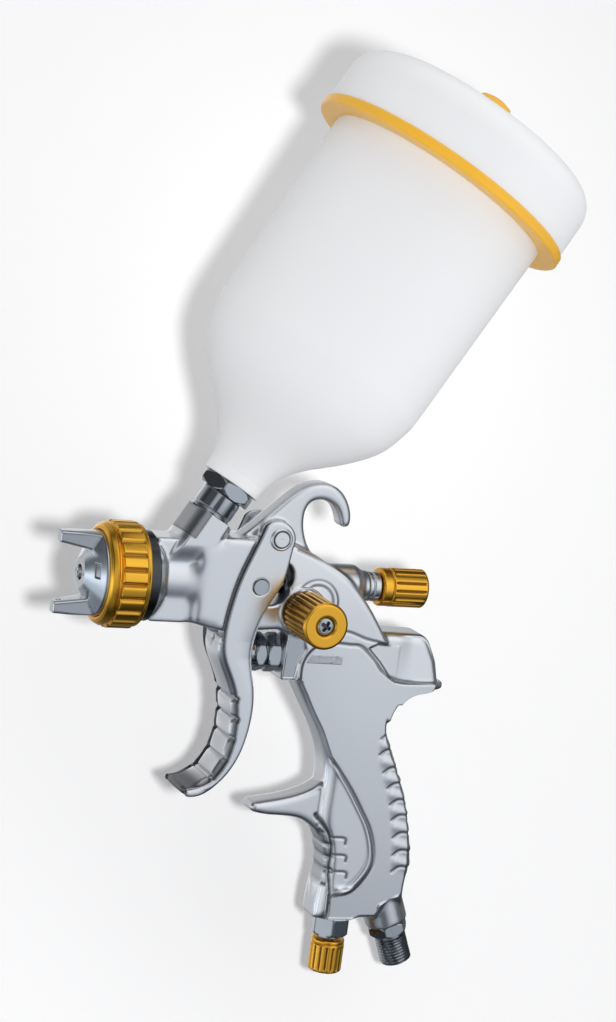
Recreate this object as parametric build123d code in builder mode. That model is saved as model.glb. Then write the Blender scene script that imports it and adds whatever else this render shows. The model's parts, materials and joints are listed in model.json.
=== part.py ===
"""Gravity-fed HVLP spray gun, in millimetres.

+X runs back along the needle axis from the nozzle mouth at the origin, +Z is up
and the gun is symmetrical about the plane Y = 0 apart from the fan control, which
stands out on the -Y side. The trigger hangs from a pin above the needle axis, and
everything behind the barrel is placed from that pin.
"""
import os
from math import cos, hypot, radians, sin

from build123d import *

# Fits and small edges
slide_gap = 0.05        # radial clearance of sliding and turning pieces
side_gap = 0.4          # clearance of the trigger's plates on the body
touch_gap = 0.1         # clearance between faces that meet when pushed together
edge_break = 0.6

# Fluid tip and needle
mouth_r = 0.7
tip_face_r = 1.3
tip_cone_length = 9.0
tip_thread_r = 6.4
tip_shoulder = 0.9
tip_hex_flats = 13.0
tip_hex_length = 5.0
tip_thread_length = 12.0
paint_bore_r = 3.6
needle_r = 1.5
needle_point_x = 0.4
needle_cone_length = 4.6

# Air cap and its horns
cap_face_x = 0.6
cap_face_r = 6.0
cap_rim_x = 6.5
cap_rim_r = 16.5
cap_rim_land = 2.8
cap_flange = 0.5
cap_wall = 2.0
cap_skirt = 4.2
jet_gap = 1.7
horn_reach = 15.5
horn_tip_low = 11.6
horn_tip_high = 16.2
horn_root_low = 8.8
horn_tip_half = 2.6
horn_root_half = 5.6
horn_corner = 1.0
horn_jet_r = 0.8
horn_jet_back = 3.2
horn_jet_lean = 30.0
face_jet_out = 4.4

# Retaining ring and collar
ring_front_x = 7.2
ring_length = 16.2
ring_lip = 0.3
ring_wall = 3.15
ring_lug = 0.7
ring_lugs = 22
ring_groove = 2.6
ring_groove_deep = 1.6
collar_length = 4.6
collar_step = 0.7
collar_wall = 2.3
spigot_length = 6.0
baffle_thick = 2.0
baffle_holes = 12
baffle_hole_r = 1.1

# Barrel and body, stations measured from the trigger pin
pivot_x = 77.0
pivot_z = 19.3
body_half = 10.0
body_edge = 1.6
barrel_half_y = 9.2
barrel_half_z = 12.6
barrel_neck = 5.0
lobe_half = 8.0
lobe_top = 16.6
flare_ahead = 35.0
flare_length = 10.0
flare_high = 34.0
hook_half = 4.6
hook_edge = 1.3
grip_half = 9.6
grip_edge = 5.2
grip_top_z = -26.0
grip_length = 111.5
grip_grooves = 10
grip_groove_r = 1.5
spur_half = 5.6
spur_edge = 2.0
spur_share = 0.556
rest_half = 8.6
rest_edge = 3.0
tang_z = -40.2
tang_thick = 2.8
tang_length = 24.0
tang_width = 18.4
pin_boss_r = 6.4
window_ahead = 10.5
window_length = 17.9
window_half = 7.8
needle_guide_r = 1.8
packing_r = 3.2
packing_length = 4.3
sleeve_bore_r = 4.3
spring_bore_r = 5.2
spring_bore_behind = 23.6
rear_boss_r = 8.6
rear_boss_behind = 38.0
rear_taper = 6.0
rear_face_r = 6.4

# Trigger and what it drives
pivot_r = 3.0
pivot_head_r = 4.6
pivot_head = 0.9
trigger_plate = 2.1
trigger_edge = 0.9
drive_ahead = 6.0
drive_r = 3.0
drive_inner = 4.4
drive_proud = 0.6
crease_r = 1.5
sleeve_collar_r = 6.5
sleeve_collar = 3.2
sleeve_gap = 0.25
sleeve_short = 3.6
nut_flats = 7.0
nut_thick = 2.6
needle_spring_r = 4.0
needle_spring_wire = 0.55
needle_spring_turns = 5

# Air valve, stations measured from the body's wall behind the trigger
valve_z = -28.5
valve_wall_behind = 9.0
valve_hex_flats = 14.0
valve_hex_length = 4.0
valve_nose = 2.4
valve_nose_r = 5.6
valve_flange = 5.4
valve_flange_r = 8.2
valve_groove = 1.2
valve_bore_r = 5.6
valve_bore_depth = 26.0
valve_seat = 6.0
valve_gap = 1.4
valve_stem_r = 1.9
valve_stem_length = 29.1
poppet_r = 4.6
poppet_thick = 2.4
valve_travel = 8.8
valve_spring_r = 3.6
valve_spring_wire = 0.6
valve_spring_turns = 3

# Fan control
fan_behind = 14.0
fan_z = -9.8
fan_boss_r = 9.6
fan_boss_rise = 2.6
fan_bush_r = 4.0
fan_bush_depth = 14.6
fan_spindle_r = 2.2
fan_knob_r = 9.3
fan_knob_length = 21.0
fan_ribs = 24
fan_screw_r = 3.7
fan_screw_deep = 3.0
screw_slot_long = 4.2
screw_slot_wide = 1.1
screw_slot_deep = 1.6

# Fluid control
bush_r = 6.0
bush_length = 5.2
fluid_knob_r = 7.9
fluid_knob_length = 20.0
fluid_knob_collar = 4.6
fluid_knob_bore = 12.0
fluid_ribs = 14
fluid_stem_r = 3.4
needle_tail = 12.0
needle_room = 3.6

# Air regulator under the grip
reg_behind = 48.8
reg_boss_r = 10.8
reg_boss_up = 14.0
reg_bush_r = 4.4
reg_bush_up = 12.0
reg_hex_flats = 14.0
reg_hex_height = 8.2
reg_neck = 1.2
reg_neck_r = 5.2
reg_spindle_r = 2.0
reg_knob_r = 6.9
reg_knob_collar = 1.6
reg_knob_bore = 9.0
reg_knob_gap = 0.7
reg_knob_length = 14.0
reg_ribs = 16

# Air inlet, G 1/4
inlet_lean = 22.0
inlet_behind = 74.0
inlet_drop = 3.1
inlet_boss_r = 8.8
inlet_boss_up = 26.0
inlet_hex_flats = 14.6
inlet_hex_height = 4.8
inlet_thread_r = 13.157 / 2
inlet_thread_length = 13.4
inlet_bore_r = 4.2
inlet_plug_r = 6.0
inlet_plug_depth = 10.0

# Paint cup, on an axis that leans back from the needle axis
cup_lean = 30.0
cup_foot_x = 36.0
boss_side = 15.6
boss_corner = 3.6
boss_low = 6.0
boss_high = 29.5
fitting_low = 17.0
fitting_rise = 8.9
fitting_r = 8.2
fitting_bore_r = 4.6
shank_r = 7.0
shank_above = 6.0
cup_nut_thick = 5.6
cup_nut_flats = 20.4
cup_nut_edge = 0.5
cup_wall = 1.9
neck_wall = 4.95
neck_rise = 4.5
neck_taper = 0.4
bowl_rise = 61.5
cup_body_r = 46.0
cup_flare = 1.4
cup_straight = 75.5
cup_ring_width = 8.6
cup_ring_height = 4.2
lid_step = 1.0
lid_height = 30.5
lid_corner = 11.0
lid_wall = 2.2
seal_half = 2.4
seal_thick = 1.6
seal_drop = 1.6
seal_rib_half = 1.0
vent_r = 8.8
vent_height = 11.5
vent_stem_r = 3.2
vent_stem = 4.0
strainer_flange_r = 9.0
strainer_flange = 1.0
strainer_length = 16.0
strainer_foot_r = 6.4
strainer_tip_r = 4.6
strainer_wall = 1.3

os.makedirs("parts", exist_ok=True)

# Stations along the needle axis
tip_cone_r = tip_thread_r - tip_shoulder
cap_flange_x = cap_rim_x + cap_rim_land
cap_flange_r = cap_rim_r + cap_flange
cap_end_x = cap_flange_x + cap_skirt
horn_tip_x = cap_rim_x - horn_reach
horn_root_high = cap_rim_r + touch_gap
ring_rear_x = ring_front_x + ring_length
ring_lip_r = cap_rim_r + ring_lip
ring_r = cap_flange_r + slide_gap + ring_wall
ring_lug_r = ring_r + ring_lug
collar_r = cap_flange_r + collar_step
collar_bore_r = collar_r - collar_wall
collar_rear_x = ring_rear_x + collar_length
spigot_front_x = collar_rear_x - spigot_length
tip_hex_x = spigot_front_x - baffle_thick - tip_hex_length
tip_thread_end = tip_hex_x + tip_hex_length + tip_thread_length
window_front = pivot_x - window_ahead
window_rear = window_front + window_length
drive_x = pivot_x - drive_ahead
spring_bore_x = pivot_x + spring_bore_behind
rear_boss_end = pivot_x + rear_boss_behind
rear_face_x = rear_boss_end + rear_taper
needle_end_x = rear_face_x + needle_tail
bush_end_x = rear_face_x + bush_length
fluid_knob_x = bush_end_x + 2 * touch_gap
valve_wall_x = pivot_x + valve_wall_behind
poppet_x = valve_wall_x + valve_seat
valve_bore_end = valve_wall_x + valve_bore_depth
stem_front_x = poppet_x - valve_stem_length
trigger_half = body_half + side_gap + trigger_plate
fan_boss_y = body_half + fan_boss_rise
fan_knob_near = fan_boss_y + 8 * touch_gap
fan_knob_far = fan_knob_near + fan_knob_length
reg_face_z = grip_top_z - grip_length

# Stations along the cup's axis
fitting_high = boss_high + fitting_rise
nut_high = fitting_high + cup_nut_thick
shank_high = nut_high + shank_above
cup_neck_r = shank_r + slide_gap + neck_wall
cup_neck_high = nut_high + neck_rise
cup_body_low = cup_neck_high + bowl_rise
cup_mouth_r = cup_body_r + cup_flare
cup_rim_high = cup_body_low + cup_straight
cup_ring_r = cup_mouth_r + cup_ring_width
ring_top = cup_rim_high + cup_ring_height
lid_r = cup_ring_r - lid_step
lid_low = ring_top + touch_gap
lid_high = cup_rim_high + lid_height
seal_low = lid_high - lid_wall - seal_drop - seal_thick
cup_mouth_high = seal_low - touch_gap
seal_r = cup_mouth_r - cup_wall / 2
vent_low = lid_high + touch_gap
vent_high = lid_high + vent_height

lean = radians(cup_lean)
cup_axis = Plane(
    origin=(cup_foot_x, 0, 0),
    x_dir=(cos(lean), 0, -sin(lean)),
    z_dir=(sin(lean), 0, cos(lean)),
)
cup_side = Plane(
    origin=(cup_foot_x, 0, 0),
    x_dir=(cos(lean), 0, -sin(lean)),
    z_dir=(0, -1, 0),
)
drop = radians(inlet_lean)
inlet_axis = Plane(
    origin=(pivot_x + inlet_behind, 0, reg_face_z - inlet_drop),
    x_dir=(cos(drop), 0, sin(drop)),
    z_dir=(sin(drop), 0, -cos(drop)),
)
needle_axis = Plane(origin=(0, 0, 0), x_dir=(0, -1, 0), z_dir=(1, 0, 0))
valve_axis = Plane(origin=(0, 0, valve_z), x_dir=(0, -1, 0), z_dir=(1, 0, 0))
fan_axis = Plane(origin=(pivot_x + fan_behind, 0, fan_z), x_dir=(1, 0, 0), z_dir=(0, -1, 0))
reg_axis = Plane(
    origin=(pivot_x + reg_behind, 0, reg_face_z), x_dir=(1, 0, 0), z_dir=(0, 0, -1)
)
body_side = Plane(origin=(pivot_x, 0, 0), x_dir=(1, 0, 0), z_dir=(0, -1, 0))
pin_side = Plane(origin=(pivot_x, 0, pivot_z), x_dir=(1, 0, 0), z_dir=(0, -1, 0))
drive_side = Plane(origin=(drive_x, 0, 0), x_dir=(1, 0, 0), z_dir=(0, -1, 0))
spur_side = Plane(
    origin=(pivot_x, 0, grip_top_z - spur_share * grip_length), x_dir=(1, 0, 0), z_dir=(0, -1, 0)
)


def keep(piece, label):
    """Label a finished piece and write it under its own name."""
    piece.part.label = label
    export_step(piece.part, f"parts/{label}.step")


def rod(plane, start, end, radius):
    """Cylinder along a plane's normal between two stations."""
    with BuildPart() as made:
        with BuildSketch(plane.offset(start)):
            Circle(radius)
        extrude(amount=end - start)
    return made.part


def hex_prism(plane, start, end, flats, turn=0):
    """Hexagon bar along a plane's normal, sized across its flats."""
    with BuildPart() as made:
        with BuildSketch(plane.offset(start)):
            RegularPolygon(flats / 2, 6, major_radius=False, rotation=turn)
        extrude(amount=end - start)
    return made.part


def turned(plane, points):
    """Turned piece: (station, radius) points swept round a plane's normal."""
    flat = Plane(origin=plane.origin, x_dir=plane.z_dir, z_dir=plane.x_dir)
    with BuildPart() as made:
        with BuildSketch(flat):
            with BuildLine():
                Polyline(*points, close=True)
            make_face()
        revolve(axis=Axis(plane.origin, plane.z_dir))
    return made.part


def knob(plane, near, far, radius, ribs, smooth, bore, bore_depth):
    """Turning knob with a smooth collar, ribs along its grip and a blind bore."""
    groove = radius * 0.075
    along = Axis(plane.origin, plane.z_dir)
    with BuildPart() as made:
        with BuildSketch(plane.offset(near)):
            Circle(radius)
        extrude(amount=far - near)
        fillet(made.faces().sort_by(along)[-1].edges(), radius * 0.13)
        fillet(made.faces().sort_by(along)[0].edges(), radius * 0.05)
        with BuildSketch(plane.offset(near + smooth)):
            with PolarLocations(radius + groove * 0.5, ribs):
                Circle(groove * 1.5)
        extrude(amount=far - near, mode=Mode.SUBTRACT)
        with BuildSketch(plane.offset(near)):
            Circle(bore)
        extrude(amount=bore_depth, mode=Mode.SUBTRACT)
    return made.part


def coil(plane, start, end, radius, wire, turns):
    """Compression spring along a plane's normal."""
    rise = end - start - 2 * wire
    with BuildPart() as made:
        with BuildLine() as path:
            Helix(rise / turns, rise, radius, plane.offset(start + wire).origin, plane.z_dir)
        with BuildSketch(Plane(origin=path.line @ 0, z_dir=path.line % 0)):
            RegularPolygon(wire, 6)
        sweep(path=path.line, is_frenet=True)
    return made.part


def down_grip(points):
    """Points of the grip's side view: (x, share of its length) from the pin's station."""
    return [(x, grip_top_z - share * grip_length) for x, share in points]


def bowl_side(depth):
    """Points up the cup's bowl from neck to straight wall, sunk square into the wall."""
    shape = ((0, 0), (0.14, 0.09), (0.25, 0.24), (0.385, 0.495), (0.545, 0.76),
             (0.68, 0.905), (0.82, 0.975), (1, 1))
    foot_r = cup_neck_r + neck_taper
    skin = [(foot_r + wide * (cup_body_r - foot_r), cup_neck_high + high * bowl_rise)
            for high, wide in shape]
    sunk = []
    for place, (out, up) in enumerate(skin):
        low_r, low_high = skin[max(place - 1, 0)]
        top_r, top_high = skin[min(place + 1, len(skin) - 1)]
        run = hypot(top_r - low_r, top_high - low_high)
        sunk.append((out - depth * (top_high - low_high) / run, up + depth * (top_r - low_r) / run))
    return sunk


# Spray head
with BuildPart() as fluid_tip:
    add(turned(needle_axis, [
        (0, mouth_r), (0, tip_face_r), (tip_cone_length, tip_cone_r), (tip_hex_x, tip_cone_r),
        (tip_hex_x, tip_thread_r), (tip_thread_end, tip_thread_r),
        (tip_thread_end, paint_bore_r), (tip_cone_length + 1, paint_bore_r),
        (2 * edge_break, mouth_r),
    ]))
    with BuildSketch(needle_axis.offset(tip_hex_x)):
        RegularPolygon(tip_hex_flats / 2, 6, major_radius=False)
        Circle(paint_bore_r, mode=Mode.SUBTRACT)
    extrude(amount=tip_hex_length)
keep(fluid_tip, "fluid_tip")

with BuildPart() as fluid_needle:
    add(turned(needle_axis, [
        (needle_point_x, 0), (needle_point_x, needle_r / 5),
        (needle_point_x + needle_cone_length, needle_r),
        (needle_end_x, needle_r), (needle_end_x, 0),
    ]))
keep(fluid_needle, "fluid_needle")

cap_skirt_r = collar_bore_r - 3 * touch_gap
cap_hollow_r = cap_rim_r - 2 * cap_wall
with BuildPart() as air_cap:
    add(turned(needle_axis, [
        (cap_face_x, tip_face_r + jet_gap), (cap_face_x, cap_face_r), (cap_rim_x, cap_rim_r),
        (cap_flange_x, cap_rim_r), (cap_flange_x, cap_flange_r),
        (cap_flange_x + cap_wall, cap_flange_r), (cap_flange_x + cap_wall, cap_skirt_r),
        (cap_end_x, cap_skirt_r), (cap_end_x, cap_hollow_r), (cap_rim_x + cap_wall, cap_hollow_r),
        (cap_face_x + cap_wall, cap_face_r), (cap_face_x + cap_wall, tip_face_r + jet_gap),
    ]))
    for side in (1, -1):
        with BuildSketch(Plane(origin=(horn_tip_x, 0, 0), x_dir=(0, 1, 0), z_dir=(1, 0, 0))):
            with Locations((0, side * (horn_tip_low + horn_tip_high) / 2)):
                RectangleRounded(2 * horn_tip_half, horn_tip_high - horn_tip_low, horn_corner)
        with BuildSketch(Plane(origin=(cap_rim_x, 0, 0), x_dir=(0, 1, 0), z_dir=(1, 0, 0))):
            with Locations((0, side * (horn_root_low + horn_root_high) / 2)):
                RectangleRounded(2 * horn_root_half, horn_root_high - horn_root_low, horn_corner)
        loft()
    with BuildSketch(needle_axis.offset(horn_tip_x)):
        Circle(2 * cap_rim_r)
        Circle(cap_rim_r, mode=Mode.SUBTRACT)
    extrude(amount=cap_flange_x - horn_tip_x, mode=Mode.SUBTRACT)
    for side in (1, -1):
        jet_plane = Plane(
            origin=(horn_tip_x + horn_jet_back, 0, side * (horn_tip_low + horn_corner)),
            z_dir=(-sin(radians(horn_jet_lean)), 0, -side * cos(radians(horn_jet_lean))),
        )
        with BuildSketch(jet_plane):
            Circle(horn_jet_r)
        extrude(amount=3 * horn_jet_r, mode=Mode.SUBTRACT)
        with BuildSketch(Plane(origin=(0, 0, 0), x_dir=(0, 1, 0), z_dir=(-1, 0, 0))):
            with Locations((side * face_jet_out, 0)):
                Circle(horn_jet_r * 0.7)
        extrude(amount=2 * cap_wall, both=True, mode=Mode.SUBTRACT)
keep(air_cap, "air_cap")

with BuildPart() as cap_ring:
    add(turned(needle_axis, [
        (ring_front_x, ring_lip_r), (ring_front_x, ring_r - 2 * edge_break),
        (ring_front_x + 2 * edge_break, ring_r), (ring_front_x + ring_length * 0.22, ring_r),
        (ring_front_x + ring_length * 0.26, ring_lug_r), (ring_rear_x - 3 * edge_break, ring_lug_r),
        (ring_rear_x - 2 * edge_break, ring_r), (ring_rear_x, ring_r - edge_break),
        (ring_rear_x, cap_flange_r + slide_gap), (cap_flange_x - slide_gap, cap_flange_r + slide_gap),
        (cap_flange_x - slide_gap, ring_lip_r),
    ]))
    with BuildSketch(needle_axis.offset(ring_front_x + ring_length * 0.32)):
        with PolarLocations(ring_lug_r, ring_lugs):
            Rectangle(ring_groove_deep, ring_groove)
    extrude(amount=ring_length * 0.53, mode=Mode.SUBTRACT)
keep(cap_ring, "air_cap_ring")

with BuildPart() as collar:
    add(turned(needle_axis, [
        (cap_end_x + touch_gap, collar_bore_r), (cap_end_x + touch_gap, cap_flange_r),
        (ring_rear_x + touch_gap, cap_flange_r), (ring_rear_x + touch_gap, collar_r),
        (collar_rear_x - edge_break, collar_r), (collar_rear_x, collar_r - edge_break),
        (collar_rear_x, collar_bore_r),
    ]))
keep(collar, "head_collar")

with BuildPart() as baffle:
    with BuildSketch(needle_axis.offset(spigot_front_x)):
        Circle(collar_bore_r)
        Circle(tip_thread_r, mode=Mode.SUBTRACT)
        with PolarLocations((collar_bore_r + tip_hex_flats * 0.6) / 2, baffle_holes):
            Circle(baffle_hole_r, mode=Mode.SUBTRACT)
    extrude(amount=-baffle_thick)
keep(baffle, "air_baffle")

# Body: shoulder, grip, hook, spur, thumb rest and barrel
wall_top_z = valve_z + valve_flange_r + 1.2
shoulder_low = -38
with BuildPart() as shoulder:
    with BuildSketch(body_side):
        with BuildLine():
            Polyline(
                (-31, 16), (-31, -16.4), (-25, -18), (-16, -19.3), (-9, -18.6),
                (valve_wall_behind - 4, -17.4), (valve_wall_behind, wall_top_z),
                (valve_wall_behind, shoulder_low), (57, shoulder_low), (54, -22),
            )
            Spline((54, -22), (48.1, -13.1), (42.7, -5.9), (37.4, 0), (32.3, 4.7),
                   (25.2, 8.9), (17.5, 13))
            Polyline((17.5, 13), (7, 17.2), (-9, 18.2), (-21, 18.2), (-31, 16))
        make_face()
    extrude(amount=body_half, both=True)
    fillet(shoulder.faces().filter_by(Axis.Y).edges(), body_edge)

grip_front = down_grip((
    (11, 0), (17.4, 0.124), (23.6, 0.215), (30.6, 0.318), (34, 0.404), (34.6, 0.52),
    (35, 0.646), (37.6, 0.726), (39.2, 0.796), (39, 0.861), (38, 1),
))
grip_back = down_grip((
    (77.4, 0.942), (76.9, 0.892), (77.2, 0.846), (78, 0.796), (77.6, 0.737), (76.2, 0.68),
    (73.6, 0.584), (70.6, 0.508), (66.8, 0.431), (62.8, 0.356), (60.2, 0.305),
    (59.2, 0.255), (60, 0.212), (63.4, 0.166),
))
with BuildPart() as grip:
    with BuildSketch(body_side):
        with BuildLine():
            Spline(*grip_front)
            Polyline(grip_front[-1], *down_grip(((65.6, 1), (71, 0.942))), grip_back[0])
            back_edge = Spline(*grip_back)
            Polyline(grip_back[-1], *down_grip(((51, 0),)), grip_front[0])
        make_face()
    extrude(amount=grip_half, both=True)
    fillet(grip.faces().filter_by(Axis.Y).edges(), grip_edge)
    for groove in range(grip_grooves):
        spot = back_edge @ (0.17 + 0.52 * groove / (grip_grooves - 1))
        with BuildSketch(body_side):
            with Locations((spot.X + grip_groove_r * 0.45, spot.Y)):
                Circle(grip_groove_r)
        extrude(amount=grip_half + 1, both=True, mode=Mode.SUBTRACT)

with BuildPart() as hook:
    with BuildSketch(body_side):
        with BuildLine():
            Spline((-16.4, 17), (-10.5, 20.6), (-5, 25.6), (1.1, 31.4), (6.7, 36.5),
                   (12.6, 40.1), (19, 41.2), (25.2, 39.4), (29.6, 35), (31.9, 29.6),
                   (32.2, 25.8))
            ThreePointArc((32.2, 25.8), (29.8, 23.9), (27.8, 25.9))
            Spline((27.8, 25.9), (26.6, 29.2), (24.4, 32.2), (21, 34), (17.6, 34.4),
                   (14.4, 33.1), (12.5, 30), (12.2, 25.2), (13.3, 20.1), (15.4, 15.6),
                   (19, 11.4))
            Polyline((19, 11.4), (15, 4), (-13, 8), (-16.4, 17))
        make_face()
    extrude(amount=hook_half, both=True)
    fillet(hook.faces().filter_by(Axis.Y).edges(), hook_edge)

with BuildPart() as spur:
    with BuildSketch(spur_side):
        with BuildLine():
            Spline((37, 14), (33.4, 6.8), (26.5, 3), (17, 0.4), (7.5, -1.2))
            ThreePointArc((7.5, -1.2), (5, -3.4), (7.3, -5.6))
            Spline((7.3, -5.6), (19, -6.9), (28, -8.4), (34, -12.6), (38.5, -21))
            Polyline((38.5, -21), (45, -12), (45, 8), (37, 14))
        make_face()
    extrude(amount=spur_half, both=True)
    fillet(spur.faces().filter_by(Axis.Y).edges(), spur_edge)

with BuildPart() as thumb_rest:
    with BuildSketch(body_side):
        with BuildLine():
            Polyline((43, -40), (43, -16.9), (68.4, -17.5))
            ThreePointArc((68.4, -17.5), (71.4, -18.9), (73.4, -21.6))
            Polyline((73.4, -21.6), (76.6, -28), (79.2, -38.2))
            Spline((79.2, -38.2), (74.6, -41.2), (68.4, -42.4), (64, -45.4),
                   (61.4, -49.4), (59.6, -54.6))
            Polyline((59.6, -54.6), (51, -48), (43, -40))
        make_face()
    extrude(amount=rest_half, both=True)
    fillet(thumb_rest.faces().filter_by(Axis.Y).edges(), rest_edge)
    with BuildSketch(Plane.XY.offset(tang_z)):
        with Locations((pivot_x + 71.4, 0)):
            SlotOverall(tang_length, tang_width)
    extrude(amount=tang_thick)

flare_x = pivot_x - flare_ahead
with BuildPart() as barrel:
    with BuildSketch(needle_axis.offset(spigot_front_x)):
        Circle(collar_bore_r)
    extrude(amount=spigot_length)
    with BuildSketch(needle_axis.offset(collar_rear_x)):
        Circle(collar_r - 2 * edge_break)
    with BuildSketch(needle_axis.offset(collar_rear_x + barrel_neck)):
        Ellipse(barrel_half_y, barrel_half_z)
    loft()
    with BuildSketch(needle_axis.offset(collar_rear_x + barrel_neck)):
        Ellipse(barrel_half_y, barrel_half_z)
    extrude(amount=flare_x - collar_rear_x - barrel_neck + 1)
    with BuildSketch(Plane.XZ):
        with BuildLine():
            Polyline(
                (collar_rear_x, -lobe_top), (collar_rear_x, lobe_top), (flare_x + 2, lobe_top),
                (flare_x + flare_length, flare_high / 2), (flare_x + flare_length, -flare_high / 2),
                (flare_x + 2, -lobe_top), (collar_rear_x, -lobe_top),
            )
        make_face()
    extrude(amount=lobe_half, both=True)

with BuildPart() as flare:
    with BuildSketch(needle_axis.offset(flare_x)):
        Ellipse(barrel_half_y, barrel_half_z)
    with BuildSketch(needle_axis.offset(flare_x + flare_length)):
        RectangleRounded(2 * body_half, flare_high, 2.5 * body_edge)
    loft()

with BuildPart() as cup_boss:
    with BuildSketch(cup_axis.offset(boss_low)):
        with Locations((0.8, 0)):
            RectangleRounded(boss_side + 1.6, boss_side, boss_corner)
    extrude(amount=boss_high - boss_low)
    fillet(cup_boss.faces().sort_by(Axis(cup_axis.origin, cup_axis.z_dir))[-1].edges(), edge_break)

with BuildPart() as gun_body:
    add(shoulder.part)
    add(grip.part)
    add(hook.part)
    add(spur.part)
    add(thumb_rest.part)
    add(barrel.part)
    add(flare.part)
    add(cup_boss.part)
    add(rod(pin_side, -body_half, body_half, pin_boss_r))
    add(rod(needle_axis, window_rear, rear_boss_end, rear_boss_r))
    add(turned(needle_axis, [
        (rear_boss_end, 0), (rear_boss_end, rear_boss_r), (rear_face_x - rear_taper * 0.4, rear_face_r),
        (rear_face_x, rear_face_r), (rear_face_x, 0),
    ]))
    add(rod(fan_axis, 0, fan_boss_y, fan_boss_r))
    add(rod(reg_axis, -reg_boss_up, 0, reg_boss_r))
    add(rod(inlet_axis, -inlet_boss_up, 0, inlet_boss_r))
    # trigger pin hole, window on the needle, and bores
    add(rod(pin_side, -2 * body_half, 2 * body_half, pivot_r), mode=Mode.SUBTRACT)
    with BuildSketch(Plane.XZ):
        with Locations(((window_front + window_rear) / 2, 0)):
            SlotOverall(window_length, 2 * window_half)
    extrude(amount=2 * body_half, both=True, mode=Mode.SUBTRACT)
    packing_x = window_front - packing_length - slide_gap
    add(rod(needle_axis, 0, tip_thread_end, tip_thread_r), mode=Mode.SUBTRACT)
    add(rod(needle_axis, tip_thread_end, cup_foot_x + boss_side, paint_bore_r), mode=Mode.SUBTRACT)
    add(rod(needle_axis, cup_foot_x, packing_x, needle_guide_r), mode=Mode.SUBTRACT)
    add(rod(needle_axis, packing_x, pivot_x, packing_r), mode=Mode.SUBTRACT)
    add(rod(needle_axis, window_front, pivot_x, nut_flats * 0.6), mode=Mode.SUBTRACT)
    add(rod(needle_axis, pivot_x, spring_bore_x, sleeve_bore_r), mode=Mode.SUBTRACT)
    add(rod(needle_axis, spring_bore_x, rear_face_x + 1, spring_bore_r), mode=Mode.SUBTRACT)
    add(rod(valve_axis, valve_wall_x - 3, valve_bore_end, valve_bore_r), mode=Mode.SUBTRACT)
    add(rod(fan_axis, fan_boss_y - fan_bush_depth - 2, fan_boss_y + 1, fan_bush_r),
        mode=Mode.SUBTRACT)
    add(rod(reg_axis, -reg_bush_up - 4, 1, reg_bush_r), mode=Mode.SUBTRACT)
    add(rod(inlet_axis, -inlet_plug_depth, 1, inlet_plug_r), mode=Mode.SUBTRACT)
    add(rod(inlet_axis, -inlet_boss_up, 0, inlet_bore_r), mode=Mode.SUBTRACT)
    add(rod(cup_axis, 0, boss_high + 1, fitting_bore_r), mode=Mode.SUBTRACT)
keep(gun_body, "gun_body")

# Needle packing, sleeve, spring and fluid control
with BuildPart() as needle_packing:
    add(rod(needle_axis, packing_x, packing_x + packing_length, packing_r))
    add(rod(needle_axis, 0, window_front, needle_r + slide_gap), mode=Mode.SUBTRACT)
keep(needle_packing, "needle_packing")

with BuildPart() as packing_nut:
    add(hex_prism(needle_axis, window_front, window_front + nut_thick, nut_flats))
    add(rod(needle_axis, 0, pivot_x, needle_guide_r), mode=Mode.SUBTRACT)
keep(packing_nut, "packing_nut")

sleeve_face = drive_x + drive_r + slide_gap
sleeve_r = sleeve_bore_r - sleeve_gap
sleeve_end_x = spring_bore_x - sleeve_short
with BuildPart() as needle_sleeve:
    add(turned(needle_axis, [
        (sleeve_face, needle_r), (sleeve_face, sleeve_collar_r - edge_break),
        (sleeve_face + edge_break, sleeve_collar_r), (sleeve_face + sleeve_collar, sleeve_collar_r),
        (sleeve_face + sleeve_collar, sleeve_r), (sleeve_end_x, sleeve_r), (sleeve_end_x, needle_r),
    ]))
keep(needle_sleeve, "needle_sleeve")

with BuildPart() as needle_spring:
    add(coil(needle_axis, spring_bore_x + edge_break, rear_face_x - 2 * touch_gap,
             needle_spring_r, needle_spring_wire, needle_spring_turns))
keep(needle_spring, "needle_spring")

with BuildPart() as fluid_bush:
    add(turned(needle_axis, [
        (rear_face_x, fluid_stem_r + slide_gap), (rear_face_x, bush_r),
        (bush_end_x - edge_break, bush_r), (bush_end_x, bush_r - edge_break),
        (bush_end_x, fluid_stem_r + slide_gap),
    ]))
keep(fluid_bush, "fluid_control_bush")

with BuildPart() as fluid_knob:
    add(knob(needle_axis, fluid_knob_x, fluid_knob_x + fluid_knob_length, fluid_knob_r,
             fluid_ribs, fluid_knob_collar, fluid_stem_r, fluid_knob_bore))
keep(fluid_knob, "fluid_knob")

with BuildPart() as fluid_stem:
    add(rod(needle_axis, rear_face_x + 4 * touch_gap, fluid_knob_x + fluid_knob_bore, fluid_stem_r))
    add(rod(needle_axis, rear_face_x, needle_end_x + needle_room, needle_guide_r),
        mode=Mode.SUBTRACT)
keep(fluid_stem, "fluid_stem")

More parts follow.
